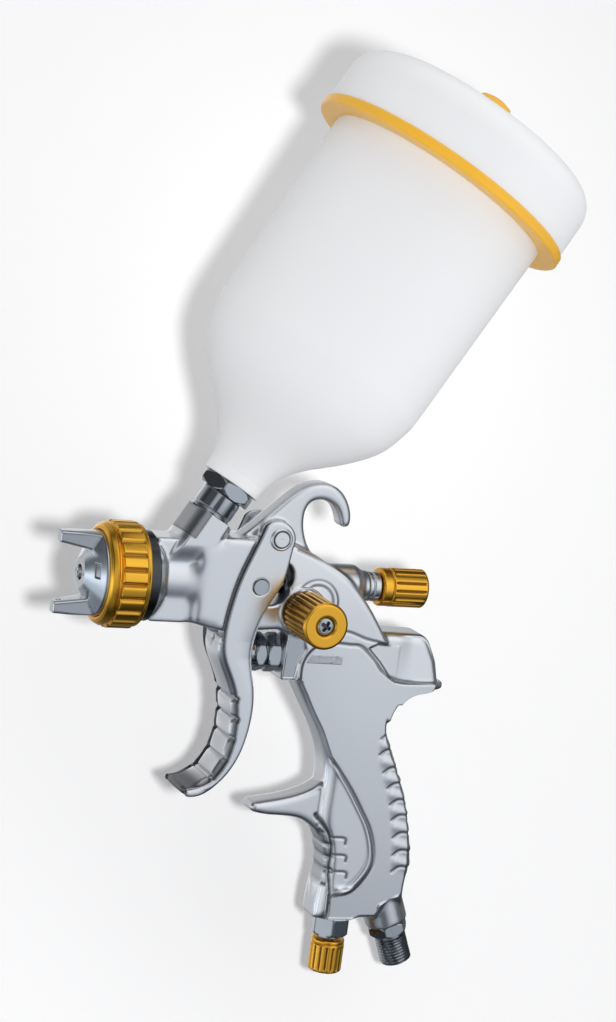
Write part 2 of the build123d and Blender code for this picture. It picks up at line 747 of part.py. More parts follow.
# Trigger: two plates joined by a web down their front, drawn from the pin
push_x = stem_front_x - pivot_x - 4 * touch_gap
push_z = valve_z - pivot_z
with BuildPart() as trigger:
    with BuildSketch(pin_side):
        with BuildLine():
            Spline((-7, 4.7), (-11.4, -7.3), (-14.8, -16.8), (-17, -26.3), (-18.3, -35.3),
                   (-18.5, -41.3), (-17.4, -48.3), (-14.4, -54.7), (-11.4, -61.3), (-9.4, -69.3),
                   (-8.8, -77.6), (-9.6, -85.3), (-11.8, -91.7), (-15.4, -96.9), (-20, -100.1),
                   (-25.4, -101.7))
            ThreePointArc((-25.4, -101.7), (-26.8, -103.3), (-25.1, -104.7))
            Spline((-25.1, -104.7), (-20, -103.9), (-14.6, -100.3), (-9.2, -94.1), (-5.2, -85.9),
                   (-3.1, -76.7), (-2.5, -68.6), (-3.2, -60.5), (-5.1, -52.5), (-6, -46.3),
                   (-5.6, -40.4), (-3.6, -32.3), (0, -24.1), (3.4, -17.2), (5, -9.9),
                   (5.9, -3.3))
            ThreePointArc((5.9, -3.3), (3.2, 5.7), (-7, 4.7))
        make_face()
    extrude(amount=trigger_half, both=True)
    fillet(trigger.faces().filter_by(Axis.Y).edges(), trigger_edge)
    # channel between the plates, open at the back
    with BuildSketch(pin_side):
        with BuildLine():
            Polyline((-16.6, -40.9), (push_x, push_z + 3), (push_x, push_z - 3), (-12, -54.9),
                     (-9, -61.1), (-7, -68.9), (-6.4, -77.6), (-7.3, -86.3), (-9.8, -93.2),
                     (-13.7, -98.8), (-18.7, -102.2), (-21, -109), (20, -109), (20, 16),
                     (-28, 16), (-28, -40.9), (-16.6, -40.9))
        make_face()
    extrude(amount=body_half + side_gap, both=True, mode=Mode.SUBTRACT)
    add(rod(pin_side, -2 * trigger_half, 2 * trigger_half, pivot_r), mode=Mode.SUBTRACT)
    add(rod(drive_side, -2 * trigger_half, 2 * trigger_half, drive_r), mode=Mode.SUBTRACT)
    # creases between the finger pads
    with BuildSketch(pin_side):
        with Locations((-10.6, -65.3), (-9.5, -73.3), (-9.9, -81.3), (-11.9, -89.3), (-16.3, -96.3)):
            Circle(crease_r)
    extrude(amount=2 * trigger_half, both=True, mode=Mode.SUBTRACT)
keep(trigger, "trigger")

pin_reach = trigger_half + touch_gap
with BuildPart() as pivot_pin:
    add(rod(pin_side, -pin_reach, pin_reach, pivot_r - slide_gap))
    for side in (-1, 1):
        add(rod(pin_side, side * pin_reach, side * (pin_reach + pivot_head), pivot_head_r))
keep(pivot_pin, "trigger_pivot_pin")

with BuildPart() as drive_pins:
    for side in (-1, 1):
        add(rod(drive_side, side * drive_inner, side * (trigger_half + drive_proud), drive_r))
keep(drive_pins, "needle_drive_pins")

# Air valve
flange_x = valve_wall_x - valve_flange
hex_end_x = flange_x - valve_groove
hex_front_x = hex_end_x - valve_hex_length
with BuildPart() as valve_gland:
    add(rod(valve_axis, hex_front_x - valve_nose, hex_front_x, valve_nose_r))
    add(hex_prism(valve_axis, hex_front_x, hex_end_x, valve_hex_flats, 30))
    add(rod(valve_axis, hex_end_x, flange_x, valve_nose_r))
    add(rod(valve_axis, flange_x, valve_wall_x, valve_flange_r))
    add(rod(valve_axis, valve_wall_x, poppet_x - valve_gap, valve_bore_r))
    add(rod(valve_axis, stem_front_x, poppet_x, valve_stem_r + slide_gap), mode=Mode.SUBTRACT)
keep(valve_gland, "air_valve_gland")

with BuildPart() as valve_stem:
    add(rod(valve_axis, stem_front_x, poppet_x, valve_stem_r))
    fillet(valve_stem.faces().sort_by(Axis.X)[0].edges(), edge_break)
keep(valve_stem, "air_valve_stem")

with BuildPart() as valve_poppet:
    add(rod(valve_axis, poppet_x, poppet_x + poppet_thick, poppet_r))
keep(valve_poppet, "air_valve_poppet")

with BuildPart() as valve_spring:
    add(coil(valve_axis, poppet_x + poppet_thick + valve_travel, valve_bore_end - touch_gap,
             valve_spring_r, valve_spring_wire, valve_spring_turns))
keep(valve_spring, "air_valve_spring")

# Fan control
with BuildPart() as fan_bush:
    add(rod(fan_axis, fan_boss_y - fan_bush_depth, fan_boss_y, fan_bush_r))
    add(rod(fan_axis, -fan_bush_depth, 2 * fan_boss_y, fan_spindle_r + slide_gap),
        mode=Mode.SUBTRACT)
keep(fan_bush, "fan_control_bush")

with BuildPart() as fan_spindle:
    add(rod(fan_axis, fan_boss_y - fan_bush_depth - 1, fan_knob_far - fan_screw_deep, fan_spindle_r))
keep(fan_spindle, "fan_spindle")

with BuildPart() as fan_knob:
    add(knob(fan_axis, fan_knob_near, fan_knob_far, fan_knob_r, fan_ribs, 0,
             fan_spindle_r, fan_knob_length - fan_screw_deep))
    with BuildSketch(fan_axis.offset(fan_knob_far)):
        Circle(fan_screw_r)
    extrude(amount=-fan_screw_deep, mode=Mode.SUBTRACT)
keep(fan_knob, "fan_knob")

with BuildPart() as fan_screw:
    add(rod(fan_axis, fan_knob_far - fan_screw_deep, fan_knob_far - 2 * touch_gap, fan_screw_r))
    fillet(fan_screw.faces().sort_by(Axis.Y)[0].edges(), edge_break)
    with BuildSketch(fan_axis.offset(fan_knob_far)):
        Rectangle(screw_slot_long, screw_slot_wide)
        Rectangle(screw_slot_wide, screw_slot_long)
    extrude(amount=-screw_slot_deep, mode=Mode.SUBTRACT)
keep(fan_screw, "fan_knob_screw")

# Air regulator
reg_neck_low = reg_hex_height + reg_neck
with BuildPart() as reg_bush:
    add(rod(reg_axis, -reg_bush_up, 0, reg_bush_r))
    add(hex_prism(reg_axis, 0, reg_hex_height, reg_hex_flats))
    add(rod(reg_axis, reg_hex_height, reg_neck_low, reg_neck_r))
    add(rod(reg_axis, -2 * reg_bush_up, 2 * reg_bush_up, reg_spindle_r + slide_gap),
        mode=Mode.SUBTRACT)
keep(reg_bush, "air_regulator_bush")

reg_knob_top = reg_neck_low + reg_knob_gap
with BuildPart() as reg_spindle:
    add(rod(reg_axis, -reg_bush_up - 2, reg_knob_top + reg_knob_bore, reg_spindle_r))
keep(reg_spindle, "air_regulator_spindle")

with BuildPart() as reg_knob:
    add(knob(reg_axis, reg_knob_top, reg_knob_top + reg_knob_length, reg_knob_r, reg_ribs,
             reg_knob_collar, reg_spindle_r, reg_knob_bore))
keep(reg_knob, "air_regulator_knob")

# Air inlet
inlet_end = inlet_hex_height + inlet_thread_length
with BuildPart() as air_inlet:
    add(rod(inlet_axis, -inlet_plug_depth, 0, inlet_plug_r))
    add(hex_prism(inlet_axis, 0, inlet_hex_height, inlet_hex_flats, 30))
    add(rod(inlet_axis, inlet_hex_height, inlet_end, inlet_thread_r))
    add(rod(inlet_axis, -inlet_plug_depth, inlet_end, inlet_bore_r), mode=Mode.SUBTRACT)
keep(air_inlet, "air_inlet_nipple")

# Paint cup
with BuildPart() as cup_fitting:
    add(turned(cup_axis, [
        (fitting_low, paint_bore_r), (fitting_low, fitting_bore_r), (boss_high, fitting_bore_r),
        (boss_high, fitting_r), (fitting_high, fitting_r), (fitting_high, shank_r),
        (shank_high, shank_r), (shank_high, paint_bore_r),
    ]))
keep(cup_fitting, "cup_fitting")

with BuildPart() as cup_nut:
    add(hex_prism(cup_axis, fitting_high, nut_high, cup_nut_flats))
    add(rod(cup_axis, fitting_high, nut_high, shank_r + slide_gap), mode=Mode.SUBTRACT)
    nut_top = cup_nut.faces().sort_by(Axis(cup_axis.origin, cup_axis.z_dir))[-1]
    chamfer(nut_top.outer_wire().edges(), cup_nut_edge)
keep(cup_nut, "cup_nut")

neck_bore = shank_r + slide_gap
with BuildPart() as paint_cup:
    outside = bowl_side(0)
    inside = bowl_side(cup_wall)
    inside[0] = (inside[0][0], shank_high - touch_gap)
    with BuildSketch(cup_side):
        with BuildLine():
            Polyline((neck_bore, nut_high), (cup_neck_r, nut_high), outside[0])
            Spline(*outside, tangents=((0.15, 1), (0.02, 1)))
            Polyline(outside[-1], (cup_mouth_r, cup_rim_high), (cup_mouth_r, cup_mouth_high),
                     (cup_mouth_r - cup_wall, cup_mouth_high),
                     (cup_mouth_r - cup_wall, cup_rim_high), inside[-1])
            Spline(*reversed(inside))
            Polyline(inside[0], (neck_bore, inside[0][1]), (neck_bore, nut_high))
        make_face()
    revolve(axis=Axis(cup_axis.origin, cup_axis.z_dir))
keep(paint_cup, "paint_cup")

strainer_top = shank_high + strainer_length
with BuildPart() as strainer:
    add(turned(cup_axis, [
        (shank_high, paint_bore_r), (shank_high, strainer_flange_r),
        (shank_high + strainer_flange, strainer_flange_r),
        (shank_high + strainer_flange, strainer_foot_r), (strainer_top, strainer_tip_r),
        (strainer_top, strainer_tip_r - strainer_wall),
        (shank_high + 2 * strainer_flange, strainer_foot_r - strainer_wall),
        (shank_high + 2 * strainer_flange, paint_bore_r),
    ]))
keep(strainer, "paint_strainer")

with BuildPart() as cup_ring:
    add(turned(cup_axis, [
        (cup_rim_high, cup_mouth_r), (cup_rim_high, cup_ring_r - edge_break),
        (cup_rim_high + edge_break, cup_ring_r), (ring_top - edge_break, cup_ring_r),
        (ring_top, cup_ring_r - edge_break), (ring_top, cup_mouth_r),
    ]))
keep(cup_ring, "cup_ring")

bend_r = lid_corner - lid_wall
with BuildPart() as cup_lid:
    with BuildSketch(cup_side):
        with BuildLine():
            Polyline((lid_r - lid_wall, lid_low), (lid_r, lid_low), (lid_r, lid_high - lid_corner))
            TangentArc((lid_r, lid_high - lid_corner), (lid_r - lid_corner, lid_high), tangent=(0, 1))
            Polyline((lid_r - lid_corner, lid_high), (vent_stem_r, lid_high),
                     (vent_stem_r, lid_high - lid_wall), (lid_r - lid_corner, lid_high - lid_wall))
            ThreePointArc(
                (lid_r - lid_corner, lid_high - lid_wall),
                (lid_r - lid_corner + bend_r * sin(radians(45)),
                 lid_high - lid_corner + bend_r * sin(radians(45))),
                (lid_r - lid_wall, lid_high - lid_corner),
            )
            Line((lid_r - lid_wall, lid_high - lid_corner), (lid_r - lid_wall, lid_low))
        make_face()
    revolve(axis=Axis(cup_axis.origin, cup_axis.z_dir))
    add(turned(cup_axis, [
        (seal_low + seal_thick, seal_r - seal_rib_half),
        (seal_low + seal_thick, seal_r + seal_rib_half),
        (lid_high - lid_wall / 2, seal_r + seal_rib_half),
        (lid_high - lid_wall / 2, seal_r - seal_rib_half),
    ]))
keep(cup_lid, "cup_lid")

with BuildPart() as lid_gasket:
    add(turned(cup_axis, [
        (seal_low, seal_r - seal_half), (seal_low, seal_r + seal_half),
        (seal_low + seal_thick, seal_r + seal_half), (seal_low + seal_thick, seal_r - seal_half),
    ]))
keep(lid_gasket, "lid_gasket")

with BuildPart() as vent_cap:
    add(turned(cup_axis, [
        (vent_low, 0), (vent_low, vent_r), (vent_high - vent_height * 0.26, vent_r * 0.93),
        (vent_high - vent_height * 0.07, vent_r * 0.75), (vent_high, vent_r / 2), (vent_high, 0),
    ]))
    add(rod(cup_axis, lid_high - vent_stem, vent_low, vent_stem_r - slide_gap))
keep(vent_cap, "vent_cap")
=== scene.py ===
import json
import math

import bmesh
import bpy
import numpy as np
from mathutils import Matrix, Vector


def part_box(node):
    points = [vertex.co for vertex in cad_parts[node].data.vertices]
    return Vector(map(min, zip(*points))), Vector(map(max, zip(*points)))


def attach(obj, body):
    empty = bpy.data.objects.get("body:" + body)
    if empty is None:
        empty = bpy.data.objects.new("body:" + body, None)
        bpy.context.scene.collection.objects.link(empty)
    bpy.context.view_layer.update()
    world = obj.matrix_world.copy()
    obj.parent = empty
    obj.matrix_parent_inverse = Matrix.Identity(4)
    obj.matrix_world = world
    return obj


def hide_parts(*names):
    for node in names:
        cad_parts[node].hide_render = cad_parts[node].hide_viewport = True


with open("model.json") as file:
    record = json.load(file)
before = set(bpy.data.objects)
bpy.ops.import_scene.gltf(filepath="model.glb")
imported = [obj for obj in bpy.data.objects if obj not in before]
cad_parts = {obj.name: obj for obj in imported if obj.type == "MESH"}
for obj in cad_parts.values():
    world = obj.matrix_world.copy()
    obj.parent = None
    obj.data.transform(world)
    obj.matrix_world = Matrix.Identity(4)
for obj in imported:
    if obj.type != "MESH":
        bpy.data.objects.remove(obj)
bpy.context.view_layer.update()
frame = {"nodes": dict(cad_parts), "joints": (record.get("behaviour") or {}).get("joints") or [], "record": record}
nodes = frame["nodes"]
print("frame loaded:", len(nodes), "nodes")


# one socket of a shader tree, with the sums written as sums
class Sock:
    def __init__(self, tree, out):
        self.tree = tree
        self.out = out

    def math(self, operation, a, b):
        return self.tree.math(operation, a, b)

    def __add__(self, other):
        return self.math("ADD", self, other)

    def __radd__(self, other):
        return self.math("ADD", other, self)

    def __sub__(self, other):
        return self.math("SUBTRACT", self, other)

    def __rsub__(self, other):
        return self.math("SUBTRACT", other, self)

    def __mul__(self, other):
        return self.math("MULTIPLY", self, other)

    def __rmul__(self, other):
        return self.math("MULTIPLY", other, self)

    def __truediv__(self, other):
        return self.math("DIVIDE", self, other)

    def __rtruediv__(self, other):
        return self.math("DIVIDE", other, self)

    def __pow__(self, other):
        return self.math("POWER", self, other)


class Made:
    def __init__(self, tree, made):
        self.tree = tree
        self.made = made

    def __getitem__(self, key):
        return Sock(self.tree, self.made.outputs[key])


# one material's tree: every other node comes from node()
class Tree:
    def __init__(self, name, world=None):
        if world is None:
            self.mat = bpy.data.materials.new(name)
            self.mat.use_nodes = True
            self.nt = self.mat.node_tree
        else:
            self.nt = world.node_tree
        self.nt.nodes.clear()

    def math(self, operation, a, b):
        return self.node("ShaderNodeMath", {"operation": operation}, {0: a, 1: b})[0]

    def node(self, kind, settings=None, sockets=None):
        made = self.nt.nodes.new(kind)
        for key, value in (settings or {}).items():
            if key == "stops":
                ramp = made.color_ramp
                while len(ramp.elements) < len(value):
                    ramp.elements.new(0.5)
                for element, (place, colour) in zip(ramp.elements, value):
                    element.position = place
                    element.color = colour if len(colour) == 4 else (*colour, 1)
            else:
                setattr(made, key, value)
        for key, value in (sockets or {}).items():
            if isinstance(value, Sock):
                self.nt.links.new(value.out, made.inputs[key])
            else:
                made.inputs[key].default_value = value
        return Made(self, made)

    def place(self, scale=1.0):
        where = self.node("ShaderNodeTexCoord")["Object"]
        return self.node("ShaderNodeVectorMath", {"operation": "SCALE"}, {0: where, 3: scale})[0]

    def noise(self, where, scale, detail=2.0, rough=0.5):
        return self.node("ShaderNodeTexNoise", {}, {"Vector": where, "Scale": scale,
                                                    "Detail": detail, "Roughness": rough})["Fac"]

    def mix(self, factor, a, b):
        return self.node("ShaderNodeMix", {"data_type": "RGBA"}, {0: factor, 6: a, 7: b})[2]

    def ramp(self, factor, *stops):
        return self.node("ShaderNodeValToRGB", {"stops": stops}, {0: factor})[0]

    def bump(self, height, distance, strength=0.5):
        return self.node("ShaderNodeBump", {}, {"Height": height, "Distance": distance,
                                                "Strength": strength})[0]

    def surface(self, **sockets):
        named = {key.replace("_", " "): value for key, value in sockets.items()}
        made = self.node("ShaderNodeBsdfPrincipled", {}, named)
        self.node("ShaderNodeOutputMaterial", {}, {"Surface": made[0]})
        return self.mat


def rgb(red, green, blue):
    return (red, green, blue, 1.0)


# finish of each metal: tone at its best, tone in its dull patches, both in linear light
metalLook = {
    "castSilver": {"tone": rgb(0.86, 0.87, 0.89), "low": rgb(0.81, 0.82, 0.84), "rough": 0.26,
                   "grain": 2.6, "bump": 0.000012},
    "chrome": {"tone": rgb(0.50, 0.53, 0.56), "low": rgb(0.42, 0.45, 0.48), "rough": 0.12,
               "grain": 1.2, "bump": 0.000006},
    # the head collar's chrome is painted near black, a painted dark reflection of the shade beside the cap ring
    "paintedDarkChrome": {"tone": rgb(0.085, 0.088, 0.092), "low": rgb(0.06, 0.062, 0.066), "rough": 0.20,
                   "grain": 1.5, "bump": 0.00001},
    "goldAnodised": {"tone": rgb(1.0, 0.54, 0.065), "low": rgb(0.97, 0.48, 0.045), "rough": 0.24,
                     "grain": 1.8, "bump": 0.00001},
    "satinSteel": {"tone": rgb(0.74, 0.77, 0.80), "low": rgb(0.66, 0.69, 0.72), "rough": 0.22,
                   "grain": 1.2, "bump": 0.000008},
    "turnedSteel": {"tone": rgb(0.60, 0.61, 0.63), "low": rgb(0.50, 0.51, 0.53), "rough": 0.25,
                    "grain": 1.5, "bump": 0.00001},
    "turnedBrass": {"tone": rgb(0.72, 0.48, 0.18), "low": rgb(0.62, 0.38, 0.12), "rough": 0.28,
                    "grain": 1.5, "bump": 0.00001},
}


# painted shade for carved hollows, gaps and grooves on a finish: its dark tone, how much of it shows, how much
# rougher it is
paintedShadeLook = {"metal": rgb(0.035, 0.037, 0.042), "metalShare": 0.94, "rough": 0.2,
              "plastic": rgb(0.12, 0.06, 0.01), "plasticShare": 0.7}


def metal(name):
    look = metalLook[name]
    tree = Tree(name)
    where = tree.place(1000.0)      # millimetres
    cloud = tree.noise(where, 0.05, 2.0)
    grain = tree.noise(where, look["grain"], 2.0)
    hollow = tree.node("ShaderNodeAttribute", {"attribute_name": "hollow"})["Fac"]
    tone = tree.mix(cloud, look["low"], look["tone"])
    # painted shade: the metal's tone darkens where the hollow attribute is set
    tone = tree.mix(hollow * paintedShadeLook["metalShare"], tone, paintedShadeLook["metal"])
    rough = look["rough"] + (cloud - 0.5) * 0.05 + hollow * paintedShadeLook["rough"]
    return tree.surface(Base_Color=tone, Metallic=1.0, Roughness=rough,
                        Normal=tree.bump(grain, look["bump"]))


plasticLook = {
    "milkyPlastic": {"tone": rgb(0.875, 0.88, 0.89), "low": rgb(0.86, 0.865, 0.875), "rough": 0.52,
                     "bump": 0.00002, "depth": 0.35},
    "goldPlastic": {"tone": rgb(0.90, 0.50, 0.045), "low": rgb(0.86, 0.45, 0.035), "rough": 0.30,
                    "bump": 0.00002, "depth": 0.0},
    "whiteSeal": {"tone": rgb(0.80, 0.80, 0.78), "low": rgb(0.74, 0.74, 0.72), "rough": 0.5,
                  "bump": 0.00003, "depth": 0.0},
}


def plastic(name):
    look = plasticLook[name]
    tree = Tree(name)
    where = tree.place(1000.0)
    cloud = tree.noise(where, 0.03, 3.0)
    grain = tree.noise(where, 1.2, 3.0)
    hollow = tree.node("ShaderNodeAttribute", {"attribute_name": "hollow"})["Fac"]
    tone = tree.mix(cloud, look["low"], look["tone"])
    # painted shade: the plastic's tone darkens where the hollow attribute is set
    tone = tree.mix(hollow * paintedShadeLook["plasticShare"], tone, paintedShadeLook["plastic"])
    rough = look["rough"] + (cloud - 0.5) * 0.08
    return tree.surface(Base_Color=tone, Roughness=rough, Normal=tree.bump(grain, look["bump"]),
                        IOR=1.46, Subsurface_Weight=look["depth"], Subsurface_Scale=0.004,
                        Subsurface_Radius=(1.0, 0.95, 0.9))


finishOf = {
    "castSilver": ["gun_body", "trigger"],
    "chrome": ["air_cap", "needle_sleeve", "packing_nut", "fluid_control_bush", "needle_drive_pins",
               "trigger_pivot_pin", "air_valve_gland", "fan_knob_screw", "air_regulator_bush",
               "air_inlet_nipple", "cup_fitting", "cup_nut"],
    "paintedDarkChrome": ["head_collar"],
    "goldAnodised": ["air_cap_ring", "fluid_knob", "fan_knob", "air_regulator_knob"],
    "turnedSteel": ["fluid_tip", "fluid_needle", "needle_spring", "fluid_stem", "air_valve_stem",
                    "air_valve_spring", "fan_spindle", "air_regulator_spindle"],
    "turnedBrass": ["air_baffle", "air_valve_poppet", "fan_control_bush"],
    "milkyPlastic": ["paint_cup", "cup_lid"],
    "goldPlastic": ["cup_ring", "vent_cap"],
    "whiteSeal": ["needle_packing", "lid_gasket", "paint_strainer"],
}
mats = {name: metal(name) for name in metalLook}
mats.update({name: plastic(name) for name in plasticLook})
for finish, parts in finishOf.items():
    for part in parts:
        nodes[part].data.materials.clear()
        nodes[part].data.materials.append(mats[finish])
print("finishes set:", len(mats))

# castings: the frame's own skin rebuilt finely, its edges eased, then carved
mm = 0.001


def skinOf(node, voxel):
    source = nodes[node]
    welded = bmesh.new()
    welded.from_mesh(source.data)
    bmesh.ops.remove_doubles(welded, verts=welded.verts, dist=2e-6)
    rough = bpy.data.meshes.new(node + "_rough")
    welded.to_mesh(rough)
    welded.free()
    holder = bpy.data.objects.new(node + "_rough", rough)
    bpy.context.scene.collection.objects.link(holder)
    net = holder.modifiers.new("net", "REMESH")
    net.mode = "VOXEL"
    net.voxel_size = voxel
    net.adaptivity = 0.0
    made = bpy.data.meshes.new_from_object(holder.evaluated_get(bpy.context.evaluated_depsgraph_get()))
    bpy.data.objects.remove(holder)
    return made


def pointsOf(mesh):
    flat = np.empty(len(mesh.vertices) * 3)
    mesh.vertices.foreach_get("co", flat)
    return flat.reshape(-1, 3)


def putPoints(mesh, points):
    mesh.vertices.foreach_set("co", points.ravel())
    mesh.update()


def edgesOf(mesh):
    flat = np.empty(len(mesh.edges) * 2, dtype=np.int64)
    mesh.edges.foreach_get("vertices", flat)
    return flat.reshape(-1, 2)


def normalsOf(mesh):
    flat = np.empty(len(mesh.vertices) * 3)
    mesh.vertices.foreach_get("normal", flat)
    return flat.reshape(-1, 3)


def eased(points, edges, rounds, push):
    count = len(points)
    ends = np.concatenate([edges[:, 0], edges[:, 1]])
    others = np.concatenate([edges[:, 1], edges[:, 0]])
    share = 1.0 / np.bincount(ends, minlength=count)
    for _ in range(rounds):
        mean = np.stack([np.bincount(ends, weights=points[others, k], minlength=count) * share
                         for k in range(3)], axis=1)
        points = points + push * (mean - points)
    return points


def curveThrough(stops, fine=10):
    stops = np.array(stops, dtype=float)
    padded = np.vstack([2 * stops[0] - stops[1], stops, 2 * stops[-1] - stops[-2]])
    run = []
    for k in range(1, len(padded) - 2):
        p0, p1, p2, p3 = padded[k - 1:k + 3]
        for t in np.linspace(0, 1, fine, endpoint=False):
            run.append(0.5 * (2 * p1 + (p2 - p0) * t + (2 * p0 - 5 * p1 + 4 * p2 - p3) * t * t
                              + (3 * p1 - p0 - 3 * p2 + p3) * t ** 3))
    run.append(stops[-1])
    return np.array(run)


def distanceTo(flat, run):
    near = np.full(len(flat), 1e9)
    for a, b in zip(run[:-1], run[1:]):
        along = b - a
        length = max(along @ along, 1e-12)
        t = np.clip(((flat - a) @ along) / length, 0, 1)
        gap = flat - a - t[:, None] * along
        near = np.minimum(near, np.sqrt((gap * gap).sum(axis=1)))
    return near


def insideOf(flat, loop):
    inside = np.zeros(len(flat), dtype=bool)
    x, z = flat[:, 0], flat[:, 1]
    for (x0, z0), (x1, z1) in zip(loop, np.roll(loop, -1, axis=0)):
        if z0 == z1:
            continue
        crosses = (z0 > z) != (z1 > z)
        inside ^= crosses & (x < (x1 - x0) * (z - z0) / (z1 - z0) + x0)
    return inside


def step(value, low, high):
    t = np.clip((value - low) / (high - low), 0, 1)
    return t * t * (3 - 2 * t)


def casting(name, node, body, slot, finish, voxel, rounds, carve, softer=None):
    mesh = skinOf(node, voxel)
    putPoints(mesh, eased(pointsOf(mesh), edgesOf(mesh), rounds, 0.5))
    if softer:
        points = pointsOf(mesh)
        share = softer(points)
        points += share[:, None] * (eased(points, edgesOf(mesh), 44, 0.6) - points)
        putPoints(mesh, points)
    points, hollow = carve(pointsOf(mesh), normalsOf(mesh))
    putPoints(mesh, eased(points, edgesOf(mesh), 1, 0.3))
    return shown(name, mesh, hollow, body, slot, finish, node)


def shown(name, mesh, hollow, body, slot, finish, *replaced):
    # the painted shade of each point, kept as a mesh attribute for the finishes
    mesh.attributes.new("hollow", "FLOAT", "POINT").data.foreach_set("value", hollow.astype(np.float32))
    mesh.polygons.foreach_set("use_smooth", [True] * len(mesh.polygons))
    mesh.name = name
    made = bpy.data.objects.new(name, mesh)
    bpy.context.scene.collection.objects.link(made)
    mesh.materials.append(mats[finish])
    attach(made, body)
    if replaced:
        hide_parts(*replaced)
    print(name, "made,", len(mesh.vertices), "points")
    return made


